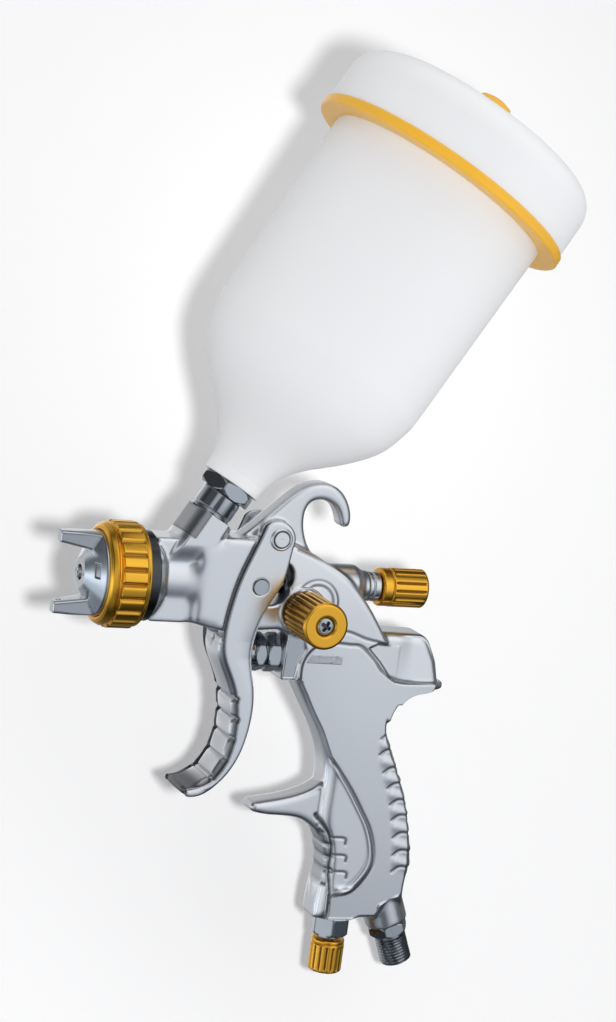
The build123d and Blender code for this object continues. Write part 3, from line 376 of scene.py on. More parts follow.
# the gun's body: places are (x, z) in millimetres on its side; half: how far out its face lies
bodyCasting = {
    "voxel": 0.42 * mm, "rounds": 16,
    "sideways": (0.55, 0.9),    # how squarely a face looks sideways before it is carved
    # up the front of the handle's cheek, round its top and down to the thumb rest
    "cheekFront": ((111.4, -68.5), (106.4, -58.3), (102.0, -51.4), (97.8, -44.1), (94.6, -38.0),
                   (94.2, -31.1), (96.5, -26.2), (100.5, -23.3), (106.5, -22.0), (113.4, -22.3),
                   (118.7, -22.9), (125.2, -28.0), (129.4, -32.8), (136.2, -36.4), (144.3, -37.2),
                   (154.4, -37.2)),
    "cheekBack": ((154.4, -39.0), (146.0, -60.0), (152.0, -110.0), (152.0, -126.0), (142.0, -131.0),
                  (139.0, -152.0), (121.3, -152.0), (119.9, -136.5), (120.4, -127.5)),
    "cheek": {"half": 10.15, "middle": (112.0, -30.0), "lean": (0.975, 0.224), "crest": 8.0,
              "crown": 0.0014, "taperFrom": -45, "taper": 0.00016, "edge": 0.8},
    "crisp": {"high": -30, "low": -74, "fromHeel": 13.0, "out": 5.0},   # where its front edge is sharp
    # from the cheek's front down the swoosh that runs out of the spur
    "swoosh": ((111.2, -68.5), (116.5, -74.7), (123.0, -82.9), (128.6, -91.2), (133.3, -98.8),
               (136.3, -107.2), (136.7, -114.4), (133.2, -120.8), (128.2, -125.1), (121.4, -126.8)),
    "bead": {"aside": (-2.0, 0.9), "wide": 0.8, "high": 0.28, "out": 5.5},
    "beadFoot": {"aside": (-3.3, 1.5)},
    "leaf": {"above": -22, "behind": 80, "out": 9.0, "from": -14, "lean": 0.0011},
    "rest": {"above": -37, "behind": (134.5, 143), "lean": 0.045},
    "lapEdge": ((136.0, -37.5), (131.5, -33.8), (127.5, -29.2), (121.5, -23.4), (126.0, -21.0),
                (131.8, -21.8), (136.0, -22.0)),
    "lap": {"half": 8.65, "edge": 0.7, "out": 6.0},
    "coveEdge": ((84.5, -15.0), (93.5, -19.5), (95.5, -25.0), (93.2, -31.0), (92.8, -39.5), (84.5, -39.5)),
    "cove": {"half": 9.9, "from": -20, "fall": 0.11, "edge": 1.2, "out": 6.0},
    # the cup's boss, measured along and across its own axis from the cup's seat
    "cupBoss": {"seat": (56.5, 35.5), "along": (0.5, 0.866), "half": 8.4, "ease": 3.2, "top": -9.0,
                "blend": (7, 15), "rise": (2.0, 5.0), "flush": 9.95},
    # the block's front is painted dark, a painted reflection; its ridge and rim carry lines of painted shade
    "block": {"across": (-8.2, -7.7, -3.9, -3.3), "along": (-22.8, -22.2, -10.6, -10.2), "dark": 0.6,
              "ridge": (-3.4, 0.45, -22.6, -10), "rim": (-22.6, 0.4, -8.0, -3.2), "out": 4, "edge": 0.85},
    "opening": {"at": (79.6, 3.9), "r": 6.3, "ease": (-0.5, 0.1), "out": 7.0, "deep": 2.4, "dark": 0.97},
    "fanBoss": {"at": (91.0, -9.8), "r": 10.4, "side": 9.9, "face": 10.0, "keep": 0.25},
    "plug": {"at": (96.5, -5.8), "r": 9.0, "side": 8, "high": 0.35, "ease": 0.3, "ring": 2.0, "gap": 0.3,
             "wide": 0.4, "deep": 0.25, "dark": 0.8},
    "leafTop": ((86.5, 14.8), (93.2, 12.6), (97.7, 10.9)),
    "leafLow": ((130.5, -21.6), (126.0, -20.8), (119.9, -19.6), (112.5, -17.2), (106.0, -17.0)),
    # three notches, each a stroke that turns down at its end
    "notches": ((102.3, 117.0), (109.6, 118.2), (116.6, 119.4)),
    "stroke": ((0.0, 0.0), (4.6, -0.1), (6.2, -0.8), (6.3, -2.8)),
    # the seam line down the handle's front, carved and painted with shade
    "seam": ((110.5, -94.0), (115.4, -100.5), (117.6, -106.5), (118.0, -112.0), (118.2, -118.0),
             (119.4, -125.5), (119.9, -136.5)),
    "seamLine": {"wide": 0.7, "facing": (0.1, 0.3), "deep": 0.9, "dark": 0.95, "out": 3},
    # each carved line: how wide, how deep, how dark its painted shade
    "lines": {"front": (0.45, 0.45, 0.75), "swoosh": (0.5, 0.4, 0.65), "beadFoot": (0.4, 0.12, 0.25),
              "leafTop": (0.4, 0.3, 0.6), "leafLow": (0.4, 0.4, 0.7), "notch": (0.36, 0.35, 0.9)},
    # the handle's back: pads between grooves that start on the heel line, the grooves painted with shade
    "heel": ((137.5, -59.4), (137.8, -66.0), (140.6, -73.5), (143.4, -80.0), (145.6, -87.0),
             (147.3, -93.5), (149.0, -101.0), (150.0, -108.5), (150.6, -115.5)),
    "grooves": {"count": 9, "run": ((-4.6, -1.2), (-1.5, 0.9), (3.0, 0.2), (9.0, -3.4)), "wide": 0.55,
                "deep": 0.3, "dark": 0.4},
    "pads": {"run": ((-3.4, -0.4), (9.0, -3.4)), "wide": 2.1, "high": 0.35, "middle": (2.5, -0.8),
             "reach": (9.5, 6.5)},
    # shade and dark: painted shade over the ribbed band and in its valleys
    "ribs": {"top": (99, 103), "foot": (120, 124), "facing": (0.15, 0.6), "from": 103, "pitch": 5.4,
             "lower": 0.25, "deep": 0.5, "shade": 0.25, "dark": 0.3},
    # where the barrel runs softly into the body: from x to x, how far out, how high
    "barrelRoot": {"start": (41, 45), "end": (54, 58), "out": (3, 6), "high": (15, 20)},
}


def barrelRoot(points):
    look = bodyCasting["barrelRoot"]
    x, y, z = points.T / mm
    return step(x, *look["start"]) * (1 - step(x, *look["end"])) * step(np.abs(y), *look["out"]) \
        * (1 - step(np.abs(z), *look["high"]))


def carveBody(points, normals):
    look = bodyCasting
    flat = points[:, [0, 2]] / mm
    x, z = flat.T
    side = np.sign(points[:, 1])
    out = np.abs(points[:, 1]) / mm
    sideways = step(np.abs(normals[:, 1]), *look["sideways"])
    hollow = np.zeros(len(points))

    def darken(share):
        nonlocal hollow
        hollow = np.maximum(hollow, share)

    # a carved line, with painted shade along it
    def score(run, line):
        nonlocal out
        wide, deep, dark = line
        mark = np.exp(-(distanceTo(flat, run) / wide) ** 2) * sideways * (out > 5.0)
        out = out - mark * deep
        darken(mark * dark)

    front = curveThrough(look["cheekFront"])
    swoosh = curveThrough(look["swoosh"])
    heelLine = curveThrough(look["heel"], 8)

    # the cheek is one gently crowned face from the shoulder down the handle
    cheek, crisp = look["cheek"], look["crisp"]
    across = (x - cheek["middle"][0]) * cheek["lean"][0] + (z - cheek["middle"][1]) * cheek["lean"][1]
    level = cheek["half"] - cheek["crown"] * (across - cheek["crest"]) ** 2 \
        - cheek["taper"] * np.minimum(z - cheek["taperFrom"], 0) ** 2
    inCheek = insideOf(flat, np.vstack([front, look["cheekBack"], swoosh[::-1]]))
    edge = distanceTo(flat, np.vstack([swoosh[::-1], front]))
    sharp = (z > crisp["low"]) & (z < crisp["high"]) & (distanceTo(flat, heelLine) > crisp["fromHeel"])
    hold = np.where(sharp & (out > crisp["out"]), 1.0, sideways)
    hold = hold * inCheek * step(edge, 0.0, cheek["edge"]) * (out > crisp["out"])
    out = out + hold * (level - out)

    # the leaf above it and the thumb rest behind both lean in as they rise
    leaf, rest = look["leaf"], look["rest"]
    hold = sideways * (z > leaf["above"]) * (x > leaf["behind"]) * (out > leaf["out"])
    out = out - hold * leaf["lean"] * np.maximum(z - leaf["from"], 0) ** 2
    hold = sideways * (x > rest["behind"][0]) * (z > rest["above"])
    out = out - hold * rest["lean"] * (z - rest["above"]) * step(x, *rest["behind"])

    # where leaf and rest lap, and the cove ahead of the cheek
    lap, cove = look["lap"], look["cove"]
    around = np.array(look["lapEdge"])
    away = distanceTo(flat, around)
    hold = insideOf(flat, around) * (out > lap["out"]) * step(away, 0.0, lap["edge"])
    out = out + hold * (lap["half"] - out)
    around = np.array(look["coveEdge"])
    away = distanceTo(flat, np.vstack([around, around[:1]]))
    hold = insideOf(flat, around) * sideways * step(away, 0.0, cove["edge"])
    out = out + hold * (cove["half"] + cove["fall"] * (z - cove["from"]) - out) * (out > cove["out"])

    # the cup's boss swells out flush with the side below it; its front block is painted dark as a polished block's
    # dark reflection, with painted shade along its ridge and rim
    boss, block = look["cupBoss"], look["block"]
    (seatX, seatZ), (alongX, alongZ) = boss["seat"], boss["along"]
    u = (x - seatX) * alongX + (z - seatZ) * alongZ
    v = (x - seatX) * alongZ - (z - seatZ) * alongX
    hold = step(boss["half"] - np.abs(v), 0.0, boss["ease"]) * (u < boss["top"]) \
        * step(z, *boss["blend"]) * step(out, *boss["rise"])
    out = np.where(hold > 0, np.maximum(out, out + hold * (boss["flush"] - out)), out)
    v0, v1, v2, v3 = block["across"]
    u0, u1, u2, u3 = block["along"]
    face = step(v, v0, v1) * (1 - step(v, v2, v3)) * step(u, u0, u1) * (1 - step(u, u2, u3))
    darken(block["dark"] * face)
    at, wide, low, high = block["ridge"]
    ridge = np.exp(-((v - at) / wide) ** 2) * (u < high) * (u > low) * (out > block["out"])
    at, wide, low, high = block["rim"]
    rim = np.exp(-((u - at) / wide) ** 2) * (v < high) * (v > low)
    darken(block["edge"] * np.maximum(ridge, rim))

    # a round opening shows the works behind the trigger; its inside is painted dark as shade
    hole = look["opening"]
    away = np.hypot(x - hole["at"][0], z - hole["at"][1]) - hole["r"]
    hold = (1 - step(away, *hole["ease"])) * (out > hole["out"])
    out = out - hold * hole["deep"]
    darken(hold * hole["dark"])

    # the fan control's boss is low, beside a round plug that it laps; the plug's ring groove and its edge gap are
    # painted with shade
    boss, plug = look["fanBoss"], look["plug"]
    away = np.hypot(x - boss["at"][0], z - boss["at"][1])
    low = (away < boss["r"]) & (points[:, 1] < -boss["side"] * mm)
    out = np.where(low, boss["face"] + (out - boss["face"]) * boss["keep"], out)
    away = np.hypot(x - plug["at"][0], z - plug["at"][1]) - plug["r"]
    near = sideways * (points[:, 1] < -plug["side"] * mm)
    out = out + near * plug["high"] * (1 - step(away, -plug["ease"], plug["ease"]))
    ring = np.exp(-((away + plug["ring"]) / plug["wide"]) ** 2) * near
    out = out - plug["deep"] * ring
    darken(plug["dark"] * ring)
    darken(plug["dark"] * np.exp(-((away - plug["gap"]) / plug["wide"]) ** 2) * near)

    # carved lines, each painted with shade along it
    lines = look["lines"]
    score(front, lines["front"])
    score(swoosh, lines["swoosh"])
    seam = look["seamLine"]
    mark = np.exp(-(distanceTo(flat, curveThrough(look["seam"])) / seam["wide"]) ** 2) \
        * step(np.abs(normals[:, 1]), *seam["facing"])
    out = out - mark * seam["deep"] * (out > seam["out"])
    darken(mark * seam["dark"] * (out > seam["out"]))
    bead = look["bead"]
    away = distanceTo(flat, swoosh + np.array(bead["aside"]))
    out = out + bead["high"] * (np.exp(-(away / bead["wide"]) ** 2) * sideways * (out > bead["out"]))
    score(swoosh + np.array(look["beadFoot"]["aside"]), lines["beadFoot"])
    score(curveThrough(look["leafTop"]), lines["leafTop"])
    score(curveThrough(look["leafLow"]), lines["leafLow"])
    for drop, start in look["notches"]:
        score(curveThrough([(start + a, b - drop) for a, b in look["stroke"]]), lines["notch"])
    points = points.copy()
    points[:, 1] = side * out * mm

    # swelling pads wrap the back of the handle, with a fine groove between two, painted with shade
    grooves, pads = look["grooves"], look["pads"]
    shift = np.zeros(len(points))
    starts = np.linspace(0, len(heelLine) - 1, grooves["count"])
    starts = [heelLine[int(round(k))] for k in starts]
    inReach = step(distanceTo(flat, heelLine + np.array(pads["middle"])), *pads["reach"])
    for at in starts:
        away = distanceTo(flat, curveThrough(at + np.array(grooves["run"]), 6))
        groove = np.exp(-(away / grooves["wide"]) ** 2)
        shift -= groove * grooves["deep"]
        darken(grooves["dark"] * groove * inReach)
    swell = np.zeros(len(points))
    for at, after in zip(starts[:-1], starts[1:]):
        run = (at + after) / 2 + np.array(pads["run"])
        swell = np.maximum(swell, np.exp(-(distanceTo(flat, run) / pads["wide"]) ** 2))
    shift += swell * pads["high"] * inReach

    # ribs on the front of the handle under the spur, painted with shade, darkest in their valleys
    ribbed = look["ribs"]
    hold = step(-z, *ribbed["top"]) * (1 - step(-z, *ribbed["foot"])) \
        * step(-normals[:, 0], *ribbed["facing"])
    wave = 0.5 - 0.5 * np.cos(2 * np.pi * (z + ribbed["from"]) / ribbed["pitch"])
    shift -= hold * (ribbed["lower"] + wave ** 3 * ribbed["deep"])
    darken(hold * (ribbed["shade"] + ribbed["dark"] * wave ** 6))
    return points + normals * (shift * mm)[:, None], hollow


# the trigger: finger pads down its web, with a deep line where the web meets each plate; creases, that line, the
# plates' front edge, the tip and the dimple are painted with shade
triggerCasting = {
    "voxel": 0.33 * mm, "rounds": 6,
    "top": -20, "facing": (0.2, 0.55), "webHalf": 9.5,
    "creases": (-24.0, -46.0, -54.0, -62.0, -70.0, -77.2, -84.0), "rise": 1.2, "crown": 0.55,
    # crease, seam, gap, tip and dimple: each carries painted shade
    "crease": {"wide": 0.5, "dark": 0.5},
    "seam": {"wide": 1.3, "deep": 1.3, "behind": 6, "top": (20, 23)},
    "gap": {"facing": (0.25, 0.6), "out": (12.2, 12.5), "top": (-24, -18), "half": 9.9, "dark": 0.95},
    "tip": {"low": (79.0, 81.5), "half": 10, "facing": (0.4, -0.2), "dark": 0.8},
    "dimple": {"at": -23.2, "wide": 1.5, "tall": 2.2, "deep": 0.7, "dark": 0.8},
    # the plates' front edge, (x, z), and how they fall away behind it
    "front": ((51.6, -82.4), (56.6, -80.8), (61.6, -77.6), (65.2, -72.4), (67.4, -66.0), (68.2, -58.3),
              (67.6, -50.0), (65.6, -42.0), (62.6, -35.4), (59.6, -29.0), (58.5, -22.0), (60.0, -7.0),
              (65.6, 12.0), (70.0, 24.0)),
    "plate": {"facing": (0.5, 0.9), "half": 11, "from": 4.0, "fall": 0.014, "most": 1.3, "low": (0, 30)},
}


def carveTrigger(points, normals):
    look = triggerCasting
    z = points[:, 2] / mm
    y = np.abs(points[:, 1]) / mm
    half = look["webHalf"]
    ahead = step(-normals[:, 0], *look["facing"]) * (z < look["top"])
    web = ahead * (1 - step(y, half - 1.2, half - 0.2))
    front = np.array(look["front"])
    behind = points[:, 0] / mm - np.interp(z, front[:, 1], front[:, 0])
    shift = np.zeros(len(points))
    hollow = np.zeros(len(points))

    def darken(share):
        nonlocal hollow
        hollow = np.maximum(hollow, share)

    # pads, with painted shade in the creases between them
    marks, crease = look["creases"], look["crease"]
    rise = look["rise"] * (1 - look["crown"] * (y / half) ** 2)
    for high, low in zip(marks[:-1], marks[1:]):
        share = np.clip((high - z) / (high - low), 0, 1)
        shift += web * rise * np.sqrt(np.clip(4 * share * (1 - share), 0, 1)) * ((z < high) & (z > low))
    for mark in marks[1:-1]:
        darken(web * crease["dark"] * np.exp(-((z - mark) / crease["wide"]) ** 2))

    # seam beside them, the front edge of the plates, the tip and the dimple at the top, each painted with shade
    seam, gap, tip, dimple = look["seam"], look["gap"], look["tip"], look["dimple"]
    line = (behind < seam["behind"]) * step(-z, *seam["top"]) * np.exp(-((y - half) / seam["wide"]) ** 2)
    shift -= line * ahead * seam["deep"]
    darken(line)
    line = step(-normals[:, 0], *gap["facing"]) * (1 - step(y, *gap["out"])) \
        * np.maximum(step(z, *gap["top"]), y > gap["half"])
    darken(line * gap["dark"])
    darken(step(-z, *tip["low"]) * (y < tip["half"]) * tip["dark"] * step(normals[:, 0], *tip["facing"]))
    dent = ahead * np.exp(-(y / dimple["wide"]) ** 2 - ((z - dimple["at"]) / dimple["tall"]) ** 2)
    shift -= dent * dimple["deep"]
    darken(dent * dimple["dark"])
    points = points + normals * (shift * mm)[:, None]

    # each plate's cheek falls away towards its rear edge
    plate = look["plate"]
    behind = points[:, 0] / mm - np.interp(z, front[:, 1], front[:, 0])
    hold = step(np.abs(normals[:, 1]), *plate["facing"]) * (y > plate["half"]) * step(-z, *plate["low"])
    fall = np.minimum(plate["fall"] * np.maximum(behind - plate["from"], 0) ** 2, plate["most"])
    points[:, 1] -= np.sign(points[:, 1]) * hold * fall * mm
    return points, hollow


# the air cap: a small sunk slot on each side of its cone, painted with shade on its rim and floor, a band of
# painted shade on the cone's forward-facing rim, and edges left bright
airCapCasting = {
    "voxel": 0.22 * mm, "rounds": 5,
    # rim, floor and shade: how dark the painted shade is on the slot's rim, its floor and the forward rim band
    "slot": {"r": 12.0, "halfR": 1.3, "middle": 3.0, "halfZ": 2.7, "edge": (-0.3, 0.1), "deep": 0.5,
             "rim": 0.8, "floor": 0.35},
    "facing": (0.2, 0.5), "lower": (15.6, 16.3), "shade": 0.6,
}


def carveCap(points, normals):
    look = airCapCasting
    slot = look["slot"]
    inner, outer = slot["edge"]
    y, z = points[:, 1:].T / mm
    out = np.hypot(y, z)
    ahead = step(-normals[:, 0], *look["facing"])
    sunk = (1 - step(np.abs(out - slot["r"]), slot["halfR"] + inner, slot["halfR"] + outer)) \
        * (1 - step(np.abs(z - slot["middle"]), slot["halfZ"] + inner, slot["halfZ"] + outer)) * ahead
    hollow = np.clip(4 * sunk * (1 - sunk), 0, 1) * slot["rim"] + sunk * slot["floor"]
    lower = ahead * step(out, *look["lower"])
    return points - normals * (sunk * slot["deep"] * mm)[:, None], np.maximum(hollow, lower * look["shade"])


casting("bodyCasting", "gun_body", "gun", "cast_silver", "castSilver",
        bodyCasting["voxel"], bodyCasting["rounds"], carveBody, barrelRoot)
casting("triggerCasting", "trigger", "trigger", "cast_silver", "castSilver",
        triggerCasting["voxel"], triggerCasting["rounds"], carveTrigger)
casting("airCapCasting", "air_cap", "air_cap", "chrome", "satinSteel", airCapCasting["voxel"],
        airCapCasting["rounds"], carveCap)


# turned pieces: rings of points round an axis, each ring pushed in or out by its own rule
def axisOf(origin, direction):
    along = Vector(direction).normalized()
    first = along.orthogonal().normalized() if abs(along.z) > 0.99 else \
        Vector((0, 0, 1)).cross(along).normalized()
    return {"origin": np.array(origin, dtype=float), "along": np.array(along),
            "first": np.array(first), "second": np.array(along.cross(first))}


jointOf = {joint["name"]: joint for joint in frame["joints"]}
mountOf = {mount["name"]: mount for mount in frame["record"]["mounts"]}
needleAxis = axisOf((0, 0, 0), (1, 0, 0))
valveAxis = axisOf((0, 0, sum(c[2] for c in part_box("air_valve_gland")) / 2), (1, 0, 0))
fanAxis = axisOf(jointOf["fan_knob_turn"]["pos_m"], jointOf["fan_knob_turn"]["axis"])
regulatorAxis = axisOf(jointOf["regulator_knob_turn"]["pos_m"], jointOf["regulator_knob_turn"]["axis"])
cupAxis = axisOf(jointOf["cup_turn"]["pos_m"], jointOf["cup_turn"]["axis"])
inletAxis = axisOf(mountOf["air_inlet"]["pos_m"], mountOf["air_inlet"]["axis"])
pivotAxis = axisOf(jointOf["trigger_pull"]["pos_m"], jointOf["trigger_pull"]["axis"])


# how far a node reaches along an axis and out from it, in millimetres
def reach(node, axis):
    points = (pointsOf(nodes[node].data) - axis["origin"]) / mm
    along = points @ axis["along"]
    out = np.sqrt(np.maximum((points * points).sum(axis=1) - along * along, 0))
    return along.min(), along.max(), out.max()


# corners of an outline turned into small rounds, then its long runs divided
def softened(outline, corner, fine):
    pts = [np.array(p, dtype=float) for p in outline]
    run = [pts[0]]
    for before, here, after in zip(pts[:-2], pts[1:-1], pts[2:]):
        inward = before - here
        outward = after - here
        cut = min(corner, 0.45 * np.linalg.norm(inward), 0.45 * np.linalg.norm(outward))
        start = here + inward / max(np.linalg.norm(inward), 1e-9) * cut
        end = here + outward / max(np.linalg.norm(outward), 1e-9) * cut
        for t in (0.0, 0.25, 0.5, 0.75, 1.0):
            run.append((1 - t) ** 2 * start + 2 * t * (1 - t) * here + t * t * end)
    run.append(pts[-1])
    dense = [run[0]]
    for here, there in zip(run[:-1], run[1:]):
        count = max(1, int(np.ceil(np.linalg.norm(there - here) / fine)))
        for k in range(1, count + 1):
            dense.append(here + (there - here) * k / count)
    return np.array(dense)


def spun(name, body, slot, finish, axis, outline, replaced, shape=None, around=96, corner=0.3, fine=50.0,
         sharp=35):
    run = softened(outline, corner, fine)
    turn = np.arange(around) * 2 * np.pi / around
    along, angle = np.meshgrid(run[:, 0], turn, indexing="ij")
    radius = np.repeat(run[:, 1][:, None], around, axis=1)
    hollow = np.zeros_like(radius)
    if shape:
        along, radius, hollow = shape(along, angle, radius)
    points = (axis["origin"] / mm + along[..., None] * axis["along"]
              + (radius * np.cos(angle))[..., None] * axis["first"]
              + (radius * np.sin(angle))[..., None] * axis["second"]) * mm
    rows = len(run)
    index = np.arange(rows * around).reshape(rows, around)
    after = np.roll(index, -1, axis=1)
    faces = np.stack([index[:-1], after[:-1], after[1:], index[1:]], axis=-1).reshape(-1, 4)
    mesh = bpy.data.meshes.new(name)
    mesh.from_pydata(points.reshape(-1, 3).tolist(), [], faces.tolist())
    mesh.update()
    made = shown(name, mesh, hollow.reshape(-1), body, slot, finish, *replaced)
    if sharp:
        mesh.set_sharp_from_angle(angle=math.radians(sharp))
    return made


# ribs round a knob: narrow grooves between pads, closed off at both ends, each groove painted with shade
def ribs(count, low, high, deep, width, dark, ease=1.2):
    def shape(along, angle, radius):
        ends = step(along, low, low + ease) * (1 - step(along, high - ease, high)) * (radius > deep * 4)
        pitch = 2 * np.pi / count
        offset = np.abs((angle + pitch / 2) % pitch - pitch / 2) * radius
        groove = np.exp(-(offset / width) ** 2) * ends
        return along, radius - groove * deep, groove * dark
    return shape


# how far a hex's corners reach beyond its flats, and the line of painted shade that each carries
hexCorner = {"reach": 1.147, "wide": 0.045, "dark": 0.7}


# six flats between two stations, their corners cut back by cones at the open ends, each corner painted with a line
# of shade
def flats(across, low, high, cone=0.55):
    def shape(along, angle, radius):
        third = np.pi / 3
        flat = across / 2 / np.cos((angle + third / 2) % third - third / 2)
        fromEnd = np.minimum(along - low, high - along)
        limit = across / 2 + np.clip(fromEnd, 0, None) / cone * 0.75 + 0.1
        inside = (along >= low - 1e-6) & (along <= high + 1e-6) & (radius > across / 2 - 0.9)
        corner = np.abs((angle + third / 2) % third - third / 2) - third / 2
        cut = np.minimum(np.minimum(flat, limit), across / 2 * hexCorner["reach"])
        mark = np.exp(-(corner / hexCorner["wide"]) ** 2) * hexCorner["dark"]
        return along, np.where(inside, cut, radius), mark * inside
    return shape


# a pipe thread: crest and root run round as one helix, its root painted with shade
def thread(pitch, deep, low, high):
    def shape(along, angle, radius):
        phase = ((along - low) / pitch - angle / (2 * np.pi)) % 1.0
        wave = np.clip(2.4 * np.abs(phase - 0.5) - 0.1, 0, 1)
        ends = step(along, low, low + 0.5 * pitch) * (1 - step(along, high - 0.6 * pitch, high)) \
            * (radius > 5.2)
        return along, radius - deep * wave * ends, wave * ends * 0.45
    return shape


def both(first, second):
    def shape(along, angle, radius):
        along, radius, dark = first(along, angle, radius)
        along, radius, more = second(along, angle, radius)
        return along, radius, np.maximum(dark, more)
    return shape


# each knob's ribs: how many, how deep, wide and how dark the painted shade in their grooves; around: points round
# it; corner: its small rounds
knobs = {
    "fluid": {"ribs": 14, "deep": 0.75, "wide": 0.42, "dark": 0.8, "around": 280, "corner": 0.45},
    "fan": {"ribs": 24, "deep": 0.85, "wide": 0.5, "dark": 0.85, "around": 384, "corner": 0.4},
    "regulator": {"ribs": 16, "deep": 0.7, "wide": 0.38, "dark": 0.8, "around": 288, "corner": 0.4},
}


def ribbedKnob(name, body, node, axis, look, outline, low, high):
    cut = ribs(look["ribs"], low, high, look["deep"], look["wide"], look["dark"])
    spun(name, body, "gold", "goldAnodised", axis, outline, [node], cut, look["around"], look["corner"],
         0.6, 0)


def goldKnobs():
    low, high, r = reach("fluid_knob", needleAxis)
    ribbedKnob("fluidKnob", "fluid_knob", "fluid_knob", needleAxis, knobs["fluid"],
               [(low + 1, 3.5), (low, 3.5), (low, r - 0.5), (low + 0.5, r - 0.15), (low + 3.9, r - 0.15),
                (low + 4.3, r - 0.5), (low + 4.7, r), (high - 0.9, r), (high, r - 1.1), (high, 2.2),
                (high - 0.5, 0.02)], low + 4.9, high - 1.0)
    low, high, r = reach("fan_knob", fanAxis)
    ribbedKnob("fanKnob", "fan_knob", "fan_knob", fanAxis, knobs["fan"],
               [(low + 2, 2.4), (low, 2.4), (low, r - 0.7), (low + 0.7, r), (high - 0.7, r),
                (high, r - 0.9), (high, 4.3), (high - 0.7, 3.75), (high - 2.9, 3.7), (high - 2.9, 2.0)],
               low - 2.0, high - 1.3)
    low, high, r = reach("air_regulator_knob", regulatorAxis)
    ribbedKnob("regulatorKnob", "regulator_knob", "air_regulator_knob", regulatorAxis, knobs["regulator"],
               [(low + 2, 2.1), (low, 2.1), (low, r - 0.5), (low + 0.4, r - 0.1), (low + 1.4, r - 0.1),
                (low + 1.8, r - 0.6), (low + 2.2, r), (high - 0.8, r), (high, r - 1.0), (high, 1.6),
                (high - 0.4, 0.02)], low + 2.3, high - 0.8)


# lugs round the cap ring, with painted shade in the grooves between them
ringLook = {"lugs": 22, "deep": 1.1, "wide": 0.75, "dark": 0.55, "ease": 0.7, "bore": 3.9, "band": 0.75}


def capRing():
    low, high, r = reach("air_cap_ring", needleAxis)
    bore = r - ringLook["bore"]
    band = r - ringLook["band"]
    spun("capRing", "air_cap_ring", "gold", "goldAnodised", needleAxis,
         [(low + 3.5, bore - 0.3), (low + 1.2, bore - 0.5), (low, bore + 0.3), (low, bore + 0.9),
          (low + 0.8, band - 0.9), (low + 2.6, band), (low + 3.3, band - 0.75), (low + 4.0, band - 0.75),
          (low + 4.6, r), (high - 2.2, r), (high - 1.7, band - 0.3), (high - 1.3, band - 0.2),
          (high - 0.5, band), (high, band - 0.5), (high, bore), (low + 3.5, bore),
          (low + 3.5, bore - 0.3)],
         ["air_cap_ring"], ribs(ringLook["lugs"], low + 4.1, high - 1.9, ringLook["deep"], ringLook["wide"],
                                ringLook["dark"], ringLook["ease"]), 440, 0.3, 0.6, 0)


# the fan screw's cross slot, painted dark inside as shade
crossSlot = {"turn": 0.5, "half": (0.35, 0.75), "long": (1.7, 2.3), "deep": 1.2, "dome": 0.25, "dark": 0.9}


def crossScrew(along, angle, radius):
    look = crossSlot
    _, high, r = reach("fan_knob_screw", fanAxis)
    a = np.abs(radius * np.cos(angle + look["turn"]))
    b = np.abs(radius * np.sin(angle + look["turn"]))
    arm = np.maximum(1 - step(a, *look["half"]), 1 - step(b, *look["half"]))
    slot = arm * (1 - step(radius, *look["long"])) * (along > high - 1.2)
    dome = (along > high - 1.0) * look["dome"] * (radius / r) ** 2
    return along - slot * look["deep"] - dome, radius, slot * look["dark"]


# across: over the flats of each hex; pipe: the inlet's thread
plated = {
    "across": {"nut": 20.4, "gland": (14.0, 14.2), "regulator": 14.0, "inlet": 14.6},
    "cone": {"nut": 0.9, "rest": 0.8},
    "pipe": {"pitch": 1.337, "deep": 0.856, "r": 6.578},
}


